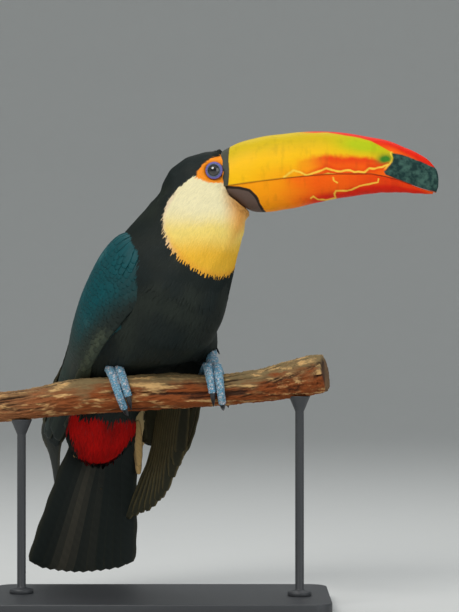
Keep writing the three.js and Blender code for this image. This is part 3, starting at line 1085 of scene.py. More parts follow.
class Lie(Enum):
    """Places on the bird and the direction that its coat lies in there."""

    BILL = pinned(in_head(2, 400), -FORWARD)
    CROWN = pinned(in_head(-25, 415), -FORWARD * 0.95 - np.array([0, 0, 0.12]))
    HINDNECK = pinned(in_head(-56, 388), -FORWARD * 0.45 - np.array([0, 0, 0.9]))
    CHEEK = pinned(in_head(-18, 380), -FORWARD * 0.55 - np.array([0, 0, 0.8]))
    CHIN = pinned(in_head(4, 368), -FORWARD * 0.25 - np.array([0, 0, 0.95]))
    THROAT = pinned(np.array([62.0, -50.0, 335.0]), np.array([-0.22, 0.05, -0.97]))
    NAPE = pinned(np.array([-12.0, 0.0, 350.0]), np.array([-0.5, 0.3, -0.8]))
    BREAST = pinned(in_trunk(30, 60), -SPINE * 0.9 - BELLY * 0.3)
    BACK = pinned(in_trunk(30, -50), -SPINE + BELLY * 0.05)
    FLANK = pinned(in_trunk(-20, 0), -SPINE)
    BELLY_END = pinned(in_trunk(-70, 20), -SPINE * 0.95 - BELLY * 0.3)
    RUMP = pinned(np.array([-50.0, 75.0, 160.0]), np.array([-0.05, 0.1, -0.99]))
    VENT = pinned(np.array([-58.0, 42.0, 150.0]), np.array([0.0, 0.06, -1.0]))

    @staticmethod
    def at(points: Array, out: Array) -> Array:
        """The lie of the coat at some places, flat on the skin there.

        Args:
            points: Places in millimetres.
            out: Directions out of the skin there.

        Returns:
            One unit vector a place.
        """
        spots = np.array([m.value[0] for m in Lie])
        ways = unit(np.array([m.value[1] for m in Lie]))
        gap = np.linalg.norm(points[:, None] - spots[None], axis=2)
        weight = 1 / (gap + 12.0) ** 4
        way = np.einsum("ij,jk->ik", weight, ways)
        way -= out * np.einsum("ij,ij->i", way, out)[:, None]
        return unit(way)


@dataclass(frozen=True)
class Tract:
    """A part of the coat whose feathers are alike.

    Attributes:
        name: The piece's name.
        slot: The record's slot.
        finish: The feathers' finish.
        spacing: Distance between roots, in millimetres.
        length: A feather's length.
        half: A feather's half width.
        tilt: How far the tips stand off, as a share of the length.
        stray: How far feathers turn from the lie, in radians.
    """

    name: str
    slot: str
    finish: Finish
    spacing: float
    length: float
    half: float
    tilt: float
    stray: float = 0.12
    vane: Vane = field(default_factory=Vane)


AXIS = ((-62, -52, -10, 13, 37, 40), (75, 60, 12, -13, -26, -28), (110, 166, 268, 326, 380, 420))
AXIS_HEIGHT = 300.0
TRIES_A_ROOT = 5
SHOWS_AT = 0.6
ROOT_DEPTH = 0.25


class Coat:
    """The feathers over the skin, laid tract by tract."""

    def __init__(self, skin: Skin) -> None:
        """Reads a built skin's shape.

        Args:
            skin: The skin, already built.
        """
        self.markings = skin.markings
        mesh = skin.shape.data
        mesh.calc_loop_triangles()
        corners = read(mesh.loop_triangles, "vertices", 3, int)
        self.corners = spots_of(mesh)[corners]
        self.region = skin.region[corners[:, 0]]
        self.centre = self.corners.mean(axis=1)
        self.normals = skin.outs[corners]
        edges = self.corners[:, 1:] - self.corners[:, :1]
        self.area = np.linalg.norm(np.cross(edges[:, 0], edges[:, 1]), axis=1) / 2
        self.rng = np.random.default_rng(SEED)

    def scatter(self, spacing: float, keep: Array) -> tuple[Array, Array]:
        """Spreads roots evenly over the kept triangles.

        Args:
            spacing: The least distance between two roots, in millimetres.
            keep: Which of the skin's triangles to use.

        Returns:
            The roots and the directions out of the skin there.
        """
        chosen = np.flatnonzero(keep)
        area = self.area[chosen]
        tries = int(area.sum() / spacing**2 * TRIES_A_ROOT)
        pick = chosen[self.rng.choice(len(chosen), tries, p=area / area.sum())]
        a, b = self.rng.random((2, tries))
        flip = a + b > 1
        a[flip], b[flip] = 1 - a[flip], 1 - b[flip]
        share = np.stack([1 - a - b, a, b], 1)
        points = np.einsum("ij,ijk->ik", share, self.corners[pick])
        outs = unit(np.einsum("ij,ijk->ik", share, self.normals[pick]))
        cells: dict[tuple[int, int, int], list[int]] = {}
        keys = np.floor(points / spacing).astype(int)
        kept = []
        limit = spacing**2
        for i, (x, y, z) in enumerate(keys):
            near = (j for dx in (-1, 0, 1) for dy in (-1, 0, 1) for dz in (-1, 0, 1)
                    for j in cells.get((x + dx, y + dy, z + dz), ()))
            spot = points[i]
            if all((spot[0] - points[j][0]) ** 2 + (spot[1] - points[j][1]) ** 2
                   + (spot[2] - points[j][2]) ** 2 > limit for j in near):
                cells.setdefault((x, y, z), []).append(i)
                kept.append(i)
        return points[kept], outs[kept]

    def unwrap(self, points: Array) -> Array:
        """Places on a cylinder round the bird's own axis.

        Args:
            points: Places in millimetres.

        Returns:
            Each place's turn and height, as shares.
        """
        z = points[:, 2]
        x0, y0 = (np.interp(z, AXIS[2], row) for row in AXIS[:2])
        turn = np.arctan2(points[:, 1] - y0, points[:, 0] - x0)
        return np.stack([turn / (2 * math.pi) + 0.5, z / AXIS_HEIGHT], 1)

    def lay(self, tract: Tract, keep: Array, region: Region,
            mask: Optional[Callable[[Array], Array]] = None) -> Piece:
        """Covers part of the skin with one tract's feathers.

        Args:
            tract: The feathers' kind.
            keep: Which of the skin's triangles it covers.
            region: The region whose colours the feathers carry.
            mask: Says which feathers stay by the places where they show, or none.

        Returns:
            The finished piece.
        """
        roots, outs = self.scatter(tract.spacing, keep)
        lie = Lie.at(roots, outs)
        seen = roots + lie * tract.length * SHOWS_AT + outs
        if mask is not None:
            stays = mask(seen)
            roots, outs, lie, seen = roots[stays], outs[stays], lie[stays], seen[stays]
        count = len(roots)
        chance = self.rng.uniform(-1, 1, (4, count))
        side = np.cross(lie, outs)
        lie = unit(lie + side * (chance[0] * tract.stray)[:, None])
        colour = self.markings.plumage(seen, np.full(count, region.value), chance[1])
        tuft = Tuft(
            root=roots - outs * ROOT_DEPTH,
            lie=lie,
            out=outs,
            length=tract.length * (1 + 0.15 * chance[2]),
            half=tract.half * (1 + 0.12 * chance[3]),
            tilt=tract.tilt * (1 + 0.4 * chance[0]),
            colour=colour,
            map_at=self.unwrap(roots),
        )
        mesh = coat_mesh(tract.name, tract.vane, tuft)
        return finished(shown(mesh, tract.name, tract.finish.material()), tract.slot)


# --- bill

BILL_YELLOW = linear(250, 192, 4)
BILL_OLIVE = linear(206, 176, 4)
BILL_AMBER = linear(252, 158, 2)
BILL_GREEN = linear(182, 196, 6)
BILL_LEAF = linear(60, 128, 34)
BILL_ORANGE = linear(250, 96, 2)
BILL_RED = linear(226, 34, 2)
BILL_CREAM = linear(252, 208, 70)
BILL_TIP = linear(22, 52, 50)
BILL_TIP_EDGE = linear(74, 110, 98)
BILL_BAND = linear(70, 72, 62)
BILL_BASE = linear(96, 78, 70)
BILL_LINE = linear(40, 32, 26)


def inside_lines(lines: Sequence[Sequence[tuple[float, float]]], spots: Array) -> Array:
    """Distance of flat points from the nearest of some broken lines.

    Args:
        lines: Each line's corners in order.
        spots: The flat points.

    Returns:
        One distance a point.
    """
    away = np.full(len(spots), FAR)
    for line in lines:
        for p, q in zip(map(np.array, line), map(np.array, line[1:])):
            edge = q - p
            t = np.clip(((spots - p) @ edge) / (edge @ edge), 0, 1)
            away = np.minimum(away, np.linalg.norm(spots - p - t[:, None] * edge, axis=1))
    return away


@dataclass
class Bill:
    """The two halves of the bill, smooth and painted by length and height.

    Attributes:
        upper: Rows of [along, height, side, up, down] for the upper half.
        lower: The same for the lower half.
        upper_veins, lower_veins: The pale lines on each half, as broken lines of [along, height].
        tip: Outline of the dark patch at the tip.
        base_patch: Outline of the brown patch at the lower half's root.
        tomium_line, culmen_line: Heights of the gape and of the upper ridge, along the bill.
        jaw_depth: Depth of the lower half along the bill.
        red_edge: Width of the red along the upper ridge.
        around, steps: Faces round each half and along it.
        flat_share: The share of those round it that its flat side gets.
        crowding: How much closer they stand low on its sides.
        finish: The horn's finish.
    """

    upper: tuple[Row, ...] = (
        (-4.4, 384.4, 19.3, 32.4, 0), (0, 384.8, 19.5, 34.1, 0), (20, 387.5, 19.5, 39.8, 0),
        (50, 391.1, 18.5, 41.6, 0), (90, 394.7, 16, 40.0, 0), (130, 394.9, 12.6, 33.6, 0),
        (152, 390.4, 9.8, 30.0, 0),
        (170, 384.4, 7, 26.6, 0), (181, 380.6, 4.8, 20, 0), (185.5, 379, 3, 12.5, 0),
        (187.5, 378.3, 1.4, 6, 0),
    )
    lower: tuple[Row, ...] = (
        (0, 385.5, 18.5, 0, 10.6), (20, 388.2, 18.8, 0, 26.2), (50, 391.8, 17.9, 0, 27.8),
        (90, 395.4, 15.3, 0, 23.2), (130, 395.6, 11.9, 0, 18.0), (152, 391.0, 9.0, 0, 13.0),
        (170, 383.8, 5.8, 0, 6.4), (185, 379, 2.4, 0, 2.2),
    )
    upper_veins: tuple[tuple[tuple[float, float], ...], ...] = (
        ((52.1, 392), (56.5, 395.7), (60.9, 398.6), (66.8, 397.1), (72.6, 393.9), (78.5, 395.9),
         (84.4, 397.8),
         (90, 400.2), (95.6, 398.6), (99.1, 397.6), (103.5, 397.3), (108, 398.6), (111.6, 398.4),
         (115, 396.8), (119, 397.4), (124.1, 396.4), (128.5, 400), (133, 399.6), (135.9, 400.8),
         (140, 401.2), (144.7, 403.7)),
        ((84, 393.6), (92, 395.4), (98, 394.8)),
        ((141.7, 424.6), (145.6, 423), (148, 419.2)),
    )
    lower_veins: tuple[tuple[tuple[float, float], ...], ...] = (
        ((75.6, 373.8), (78, 375.4), (81.5, 372.7), (88.8, 372.3), (97.6, 373.8), (96.9, 377.4),
         (98.4, 380.3), (107.9, 380.3), (113, 381.6), (119.7, 384.7), (128.5, 386.2), (135.9, 387.6),
         (136.6, 390.5)),
        ((96.2, 392), (96.9, 389.1), (99.8, 387.6)),
    )
    tip: tuple[Row, ...] = (
        (148.3, 413.9), (156, 412.6), (163.8, 410.2), (174, 406.4), (184.4, 401.5), (200, 396),
        (200, 374), (186, 379.2), (171.1, 383.7), (156.4, 389.1), (143.2, 394.2), (141.7, 397.1),
        (144, 400), (149.1, 405.9), (149.4, 410),
    )
    base_patch: tuple[Row, ...] = (
        (3, 384), (11, 383.4), (21, 381.2), (26.8, 376), (30.6, 367), (33, 362),
        (26, 356), (10, 356), (-4, 370), (-4, 384),
    )
    tomium_line: tuple[Row, Row] = (
        (0, 20, 50, 90, 130, 152, 170, 187), (385.2, 388, 391.5, 395.2, 395.4, 390.8, 384.2, 378.4))
    culmen_line: tuple[Row, Row] = (
        (0, 20, 50, 90, 130, 152, 170, 181, 187), (419, 427.4, 432.8, 434.8, 428.6, 420.5, 411, 400.6, 388))
    jaw_depth: tuple[Row, Row] = (
        (0, 20, 50, 90, 130, 152, 170, 187), (12, 25, 27, 22.5, 17.4, 12.4, 6.4, 2))
    red_edge: tuple[Row, Row] = (
        (60, 90, 120, 140, 150, 163, 184, 190), (0.6, 1.4, 2.6, 5.5, 7.5, 8.5, 3, 0))
    around: int = 176
    steps: int = 380
    flat_share: float = 0.1
    crowding: float = 1.4
    finish: Finish = Finish("Bill horn", roughness=0.46, grain=2.2, grain_depth=0.05, mottle=0.1,
                            stretch=(0.25, 1.0, 1.0), specular=0.16)

    def tomium(self, along: Array) -> Array:
        """Height of the line between the two halves."""
        return np.interp(along, *self.tomium_line)

    def culmen(self, along: Array) -> Array:
        """Height of the upper ridge."""
        return np.interp(along, *self.culmen_line)

    def upper_paint(self, flat: Array, wave: Array, fine: Array) -> Array:
        """Linear colours of the upper half.

        Args:
            flat: Places as [along, height].
            wave: Broad noise for each place.
            fine: Fine noise for each place.

        Returns:
            One colour a place.
        """
        along, height = flat.T
        top = self.culmen(along)
        rise = (height - self.tomium(along)) / np.maximum(top - self.tomium(along), 1)
        below = top - height
        shake = np.stack([fine, wave], 1)
        warm = smooth(0.45, 0.0, rise) * smooth(0, 60, along)
        green = np.exp(-(((along - 122) / 24) ** 2) - ((rise - 0.74 + 0.04 * wave) / 0.22) ** 2)
        belt = smooth(60, 92, along + 6 * wave) * smooth(0.50, 0.34, rise + 0.05 * wave + 0.03 * fine)
        belt_colour = mixed(BILL_ORANGE, BILL_RED, 0.6 * smooth(0.12, 0.4, rise))
        leaf = np.exp(-(((along - 142.5) / 6.5) ** 2) - ((height - 408 - 0.8 * wave) / 4.0) ** 2)
        vein = inside_lines(self.upper_veins, flat + 0.3 * shake)
        halo = smooth(4.5, 0.5, vein + 1.5 * wave) * smooth(0.62, 0.4, rise) * smooth(60, 80, along)
        red_edge = np.interp(along, *self.red_edge)
        ridge = smooth(60, 80, along) * smooth(0.7, -0.7, below - red_edge - 0.4 * wave)
        flame = mixed(BILL_RED, BILL_ORANGE, smooth(0.5, 6.0, below) * smooth(130, 150, along))
        tip = smooth(-0.5, 0.5, inside(self.tip, flat + 0.5 * shake))
        dark = mixed(BILL_TIP, BILL_TIP_EDGE, np.clip(0.35 + 0.9 * fine, 0, 1) * 0.7)
        rim = inside(self.tip, flat + 0.4 * shake)
        edge = smooth(1.1, 0.3, np.abs(rim + 0.9)) * smooth(150, 147, along) * smooth(398, 401, height)
        return painted(
            BILL_YELLOW,
            (BILL_OLIVE, smooth(0.45, 0.95, rise + 0.05 * wave)),
            (BILL_AMBER, 0.75 * warm),
            (BILL_GREEN, np.clip(1.15 * green, 0, 1)),
            (belt_colour, belt),
            (BILL_LEAF, np.clip(1.3 * leaf, 0, 1)),
            (BILL_RED, 0.5 * halo),
            (BILL_CREAM, 0.95 * smooth(0.5, -0.3, vein - 0.7 - 0.25 * fine)),
            (flame, ridge),
            (dark, tip),
            (BILL_CREAM, 0.85 * edge),
        )

    def lower_paint(self, flat: Array, wave: Array, fine: Array) -> Array:
        """Linear colours of the lower half, from the same places and noise.

        Args:
            flat: Places as [along, height].
            wave: Broad noise for each place.
            fine: Fine noise for each place.

        Returns:
            One colour a place.
        """
        along, height = flat.T
        fall = self.tomium(along) - height
        drop = fall / np.interp(along, *self.jaw_depth)
        shake = np.stack([fine, wave], 1)
        flame = smooth(66, 84, along) * smooth(0.62, 0.9, drop + 0.08 * wave + 0.25 * smooth(100, 140, along))
        vein = inside_lines(self.lower_veins, flat + 0.3 * shake)
        base = inside(self.base_patch, flat + 0.4 * shake)
        return painted(
            BILL_AMBER,
            (BILL_ORANGE, smooth(30, 84, along + 8 * wave)),
            (BILL_RED, 0.75 * smooth(100, 150, along + 10 * wave)),
            (BILL_RED, flame),
            (BILL_ORANGE, 0.6 * smooth(172, 186, along)),
            (BILL_CREAM, 0.85 * smooth(0.5, -0.3, vein - 0.6 - 0.25 * fine)),
            (mixed(BILL_BASE, BILL_BAND, 0.3 * smooth(0, 1, fine)), smooth(-0.4, 0.4, base)),
            (BILL_LINE, smooth(1.7, 0.8, np.abs(base - 0.3))),
        )

    def colours(self, points: Array) -> Array:
        """Linear colours of the horn by place.

        Args:
            points: Places in millimetres.

        Returns:
            One colour a place.
        """
        flat = Markings().head_flat(points)
        wave = ripple(points, 24.0, 3.0, 3)
        fine = ripple(points, 4.0, 4.0, 3)
        edge = self.tomium(flat[:, 0])
        upper = self.upper_paint(flat, wave, fine)
        lower = self.lower_paint(flat, wave, fine)
        colour = mixed(upper, lower, smooth(0.2, -0.2, flat[:, 1] - edge))
        # Painted shade: a dark line along the gape, where the two halves meet.
        line = smooth(0.9, 0.2, np.abs(flat[:, 1] - edge)) * smooth(190, 150, flat[:, 0])
        colour = mixed(colour, BILL_LINE, 0.45 * line)
        streak = ripple(points * np.array([1.0, 1.0, 0.25]), 5.0, 12.0, 3)
        colour = colour * (1 - 0.10 * smooth(0.1, 0.8, streak))[:, None]
        width = 1.9 + 0.4 * fine + 0.6 * np.sin((flat[:, 1] - 385) / 7)
        band = smooth(width + 0.5, width - 0.3, flat[:, 0]) * smooth(-1.5, 0.5, flat[:, 1] - edge)
        colour = mixed(colour, BILL_BAND, band)
        return mixed(colour, BILL_LINE, 0.8 * smooth(0.9, 0.3, np.abs(flat[:, 0] - width)) * band)

    def arched(self, place: Array) -> Array:
        """Turns that give the arch above the flat side nearly all of the faces, most of them low down.

        Args:
            place: Places from 0 to 1 across the grid.

        Returns:
            Turns in radians.
        """
        arch = np.clip((place - self.flat_share) / (1 - self.flat_share), 0, 1)
        side = np.abs(2 * arch - 1)
        low = (1 - (1 - side) ** self.crowding) * np.sign(2 * arch - 1)
        flat = place / self.flat_share * math.pi
        return np.where(place < self.flat_share, flat, math.pi * (1.5 + 0.5 * low))

    def hollowed(self, place: Array) -> Array:
        """The same for the lower half, whose flat side is its upper one."""
        return 2 * math.pi - self.arched(1 - place)

    def swell(self, share: Array, turn: Array) -> Array:
        """Shallow uneven ridges in the horn."""
        return -0.25 + 0.12 * np.sin(share * 70 + 2 * np.sin(turn * 3)) * smooth(0.0, 0.3, share)

    def build(self) -> None:
        """Builds and paints both halves."""
        material = self.finish.material()
        for word, rows in (("upper", self.upper), ("lower", self.lower)):
            loft = Loft(np.array([head_row(row) for row in rows]), power=2.2)
            turns = self.arched if word == "upper" else self.hollowed
            horn = tube(loft, self.around, self.steps, self.swell, cap=0.006, turns=turns)
            obj = piece_of(horn, f"bill_{word}_horn", material)
            tinted(obj.data, self.colours(spots_of(obj.data)))
            finished(obj, "bill_horn", f"bill_{word}")


# --- eyes


PUPIL = linear(8, 8, 8)
IRIS = linear(46, 44, 34)
EYE_RIM = linear(20, 22, 24)
LID_INNER = linear(40, 52, 60)
LID_GREY = linear(84, 98, 116)
LID_BLUE = linear(108, 104, 178)
LID_VIOLET = linear(116, 84, 140)


@dataclass
class Eye:
    """An eyeball in its ring of blue skin, on one side of the head.

    Attributes:
        hand: The side.
        along, height: The eye's place in the head's own length and height.
        radius: The eyeball's radius.
        depth, lid: How far out from the head's middle the eyeball and its ring lie.
        ring: The ring's profile, as [distance from the eye's axis, height over the skin].
    """

    hand: Hand
    along: float = -10.6
    height: float = 398.8
    radius: float = 7.0
    depth: float = 18.2
    lid: float = 22.4
    ring: tuple[Row, ...] = (
        (7.9, -2.2), (7.7, -0.3), (7.35, 0.5), (7.0, 0.2), (6.7, 0.8), (6.35, 0.6), (6.0, 1.2),
        (5.6, 1.25), (5.3, 0.95), (5.0, 0.9), (4.7, 0.3), (4.85, -0.8),
    )

    def middle(self, depth: float) -> Array:
        """The eye's middle at a depth out from the head's middle plane."""
        return in_head(self.along, self.height, self.hand.value * depth)

    def off(self, points: Array) -> Array:
        """Distance of places from the eye's own axis.

        Args:
            points: Places in millimetres.

        Returns:
            One distance a place.
        """
        rel = points - self.middle(self.depth)
        axis = HEAD_RIGHT * self.hand.value
        return np.linalg.norm(rel - (rel @ axis)[:, None] * axis, axis=1)

    def ball(self) -> None:
        """The wet eyeball, with a black pupil in a dark brown iris."""
        bm = bmesh.new()
        bmesh.ops.create_uvsphere(bm, u_segments=64, v_segments=40, radius=self.radius * MM)
        bmesh.ops.translate(bm, vec=Vector(self.middle(self.depth) * MM), verts=bm.verts)
        finish = Finish("Eye", roughness=0.06, grain=0.6, grain_depth=0.0, mottle=0.3, coat=1.0,
                        coat_roughness=0.02, specular=0.6)
        obj = piece_of(bm, f"eyeball_{self.hand.word}", finish.material())
        off = self.off(spots_of(obj.data))
        tinted(obj.data, painted(PUPIL, (IRIS, smooth(2.6, 3.1, off)), (EYE_RIM, smooth(4.0, 4.8, off))))
        finished(obj, "eye", f"eye_{self.hand.word}")

    def lids(self) -> None:
        """The ring of folded blue skin, spun round the eye."""
        axis = Vector(HEAD_RIGHT * self.hand.value)
        start = Vector(self.middle(self.lid))
        up = Vector((0, 0, 1))
        profile = [start + up * wide + axis * high for wide, high in self.ring]
        bm = spun(profile, start, axis, 112, closed=True)
        for vert in bm.verts:
            rel = vert.co - start
            turn = math.atan2(rel.z, rel.dot(Vector(FORWARD)))
            fold = math.sin(turn * 23 + 3 * math.sin(turn * 3)) * 0.14
            fold += noise.noise(vert.co * 0.7) * 0.25
            vert.co += axis * fold
        bmesh.ops.scale(bm, vec=(MM, MM, MM), verts=bm.verts)
        bmesh.ops.recalc_face_normals(bm, faces=bm.faces)
        finish = Finish("Blue skin", roughness=0.5, grain=0.7, grain_depth=0.12, mottle=0.4, specular=0.4)
        obj = piece_of(bm, f"eye_skin_{self.hand.word}", finish.material())
        off = self.off(spots_of(obj.data))
        tinted(obj.data, painted(LID_INNER, (LID_GREY, smooth(4.8, 5.6, off)),
                                 (LID_BLUE, smooth(5.8, 6.6, off)), (LID_VIOLET, smooth(7.2, 7.8, off))))
        finished(obj, "blue_skin", f"eye_ring_{self.hand.word}")

    def build(self) -> None:
        """Builds the eyeball and its lids."""
        self.ball()
        self.lids()


# --- perch and feet


BARK_RED = linear(136, 70, 30)
BARK_GREY = linear(126, 108, 74)
BARK_DRY = linear(154, 106, 68)
# Painted highlight colour for the bark's raised ridges.
BARK_RIDGE_HIGHLIGHT = linear(220, 176, 116)
# Painted shade colour for the bark's deep cracks and hollows.
BARK_HOLLOW_SHADE = linear(46, 24, 14)
WOOD_DARK = linear(88, 66, 46)
WOOD_PALE = linear(128, 98, 66)
SCALE_BLUE = linear(98, 156, 188)
SCALE_PALE = linear(150, 190, 204)
SCALE_DUST = linear(206, 200, 204)
SCALE_SEAM = linear(58, 84, 104)
CLAW_ROOT = linear(44, 46, 48)
CLAW_TIP = linear(22, 22, 24)


@dataclass
class Perch:
    """The cut length of branch, with its ridged bark.

    Attributes:
        rows: The branch's form, as [x, y, z, radius].
        around, steps: Faces round it and along it.
    """

    rows: tuple[Row, ...] = (
        (-160, 8, 183, 15), (-118, 6, 187, 15.5), (-78, 3, 193.5, 17.5), (-30, 0, 196.5, 17.8),
        (10, -1, 198.5, 17.5), (52, -3, 199.5, 15.5), (92, -7, 204, 16), (120, -11, 209.5, 18),
        (140, -16, 214, 18.8), (151, -19, 216, 17.5),
    )
    around: int = 150
    steps: int = 420

    def at(self, x: float) -> tuple[Array, float]:
        """The branch's centre and radius where it passes x, in millimetres.

        Args:
            x: The place along the branch.

        Returns:
            The centre and the radius.
        """
        rows = np.array(self.rows)
        y, z, radius = (np.interp(x, rows[:, 0], rows[:, i]) for i in (1, 2, 3))
        return np.array([x, y, z]), float(radius)

    def off_bark(self, x: float, turn: float, lift: float) -> Array:
        """A place at x, a turn round the branch from its top, lifted off the bark.

        Args:
            x: The place along the branch.
            turn: Degrees from its top towards its front.
            lift: Millimetres off the bark.

        Returns:
            The place, in millimetres.
        """
        centre, radius = self.at(x)
        a = math.radians(turn)
        return centre + np.array([0, -math.sin(a), math.cos(a)]) * (radius + lift)

    def loft(self) -> Loft:
        """The branch's own solid."""
        return Loft(np.array([[x, y, z, r, r, r, 90] for x, y, z, r in self.rows]))

    def bark(self, share: Array, turn: Array) -> Array:
        """Long ridges and hollows in the bark, all within the solid.

        Args:
            share: How far along it, from 0 to 1.
            turn: The angle round it in radians.

        Returns:
            Millimetres added to the branch's radius.
        """
        ring = np.stack([share * 60, np.cos(turn) * 16, np.sin(turn) * 16], 1)
        ring[:, 0] += 6 * turn * np.cos(turn)
        ridges = np.abs(ripple(ring, 8.0, 5.0, 3))
        cracks = np.abs(ripple(ring * np.array([1.6, 1, 1]), 3.4, 13.0, 3))
        lumps = ripple(ring * np.array([2.0, 1, 1]), 26.0, 6.0, 2)
        return -0.1 - 2.6 * ridges - 1.5 * np.sqrt(cracks) + 1.6 * np.minimum(lumps, 0.1)

    def colours(self, points: Array) -> Array:
        """Grey-brown above, red-brown below, with pale streaks painted as highlights on the raised ridges and
        painted shade where the bark is sunk deep.

        Args:
            points: Places in millimetres.

        Returns:
            One colour a place.
        """
        rows = np.array(self.rows)
        y0, z0 = (np.interp(points[:, 0], rows[:, 0], rows[:, i]) for i in (1, 2))
        high = (points[:, 2] - z0) / 17
        radius = np.interp(points[:, 0], rows[:, 0], rows[:, 3])
        sunk = radius - np.hypot(points[:, 1] - y0, points[:, 2] - z0)
        streak = ripple(points * np.array([0.16, 1, 1]), 5.0, 8.0, 4)
        cloud = ripple(points, 34.0, 9.0, 3)
        ends = np.maximum(smooth(150.0, 151.2, points[:, 0]), smooth(-159.2, -160.2, points[:, 0]))
        ring = np.sin(np.hypot(points[:, 1] - y0, points[:, 2] - z0) * 4.2 + 3 * cloud)
        return painted(
            BARK_RED,
            (BARK_GREY, smooth(-0.25, 0.75, high + 0.5 * cloud + 0.5 * streak)),
            (BARK_DRY, 0.6 * smooth(-60, -150, points[:, 0])),
            # Painted highlight: pale streaks on the raised ridges, where the light catches them.
            (BARK_RIDGE_HIGHLIGHT, 0.8 * smooth(0.1, 0.6, streak) * smooth(2.6, 0.8, sunk)),
            # Painted shade: darker the deeper the bark is sunk, in its cracks and hollows.
            (BARK_HOLLOW_SHADE, 0.9 * smooth(1.5, 3.2, sunk + 0.7 * streak)),
            (mixed(WOOD_DARK, WOOD_PALE, 0.5 + 0.5 * ring), ends),
        )

    def build(self) -> None:
        """Builds the branch."""
        finish = Finish("Bark", roughness=0.78, grain=1.6, grain_depth=0.7, mottle=0.5,
                        stretch=(0.3, 1.0, 1.0), specular=0.25)
        branch = tube(self.loft(), self.around, self.steps, self.bark, cap=0.004)
        obj = piece_of(branch, "branch", finish.material())
        tinted(obj.data, self.colours(spots_of(obj.data)))
        finished(obj, "bark", "perch")


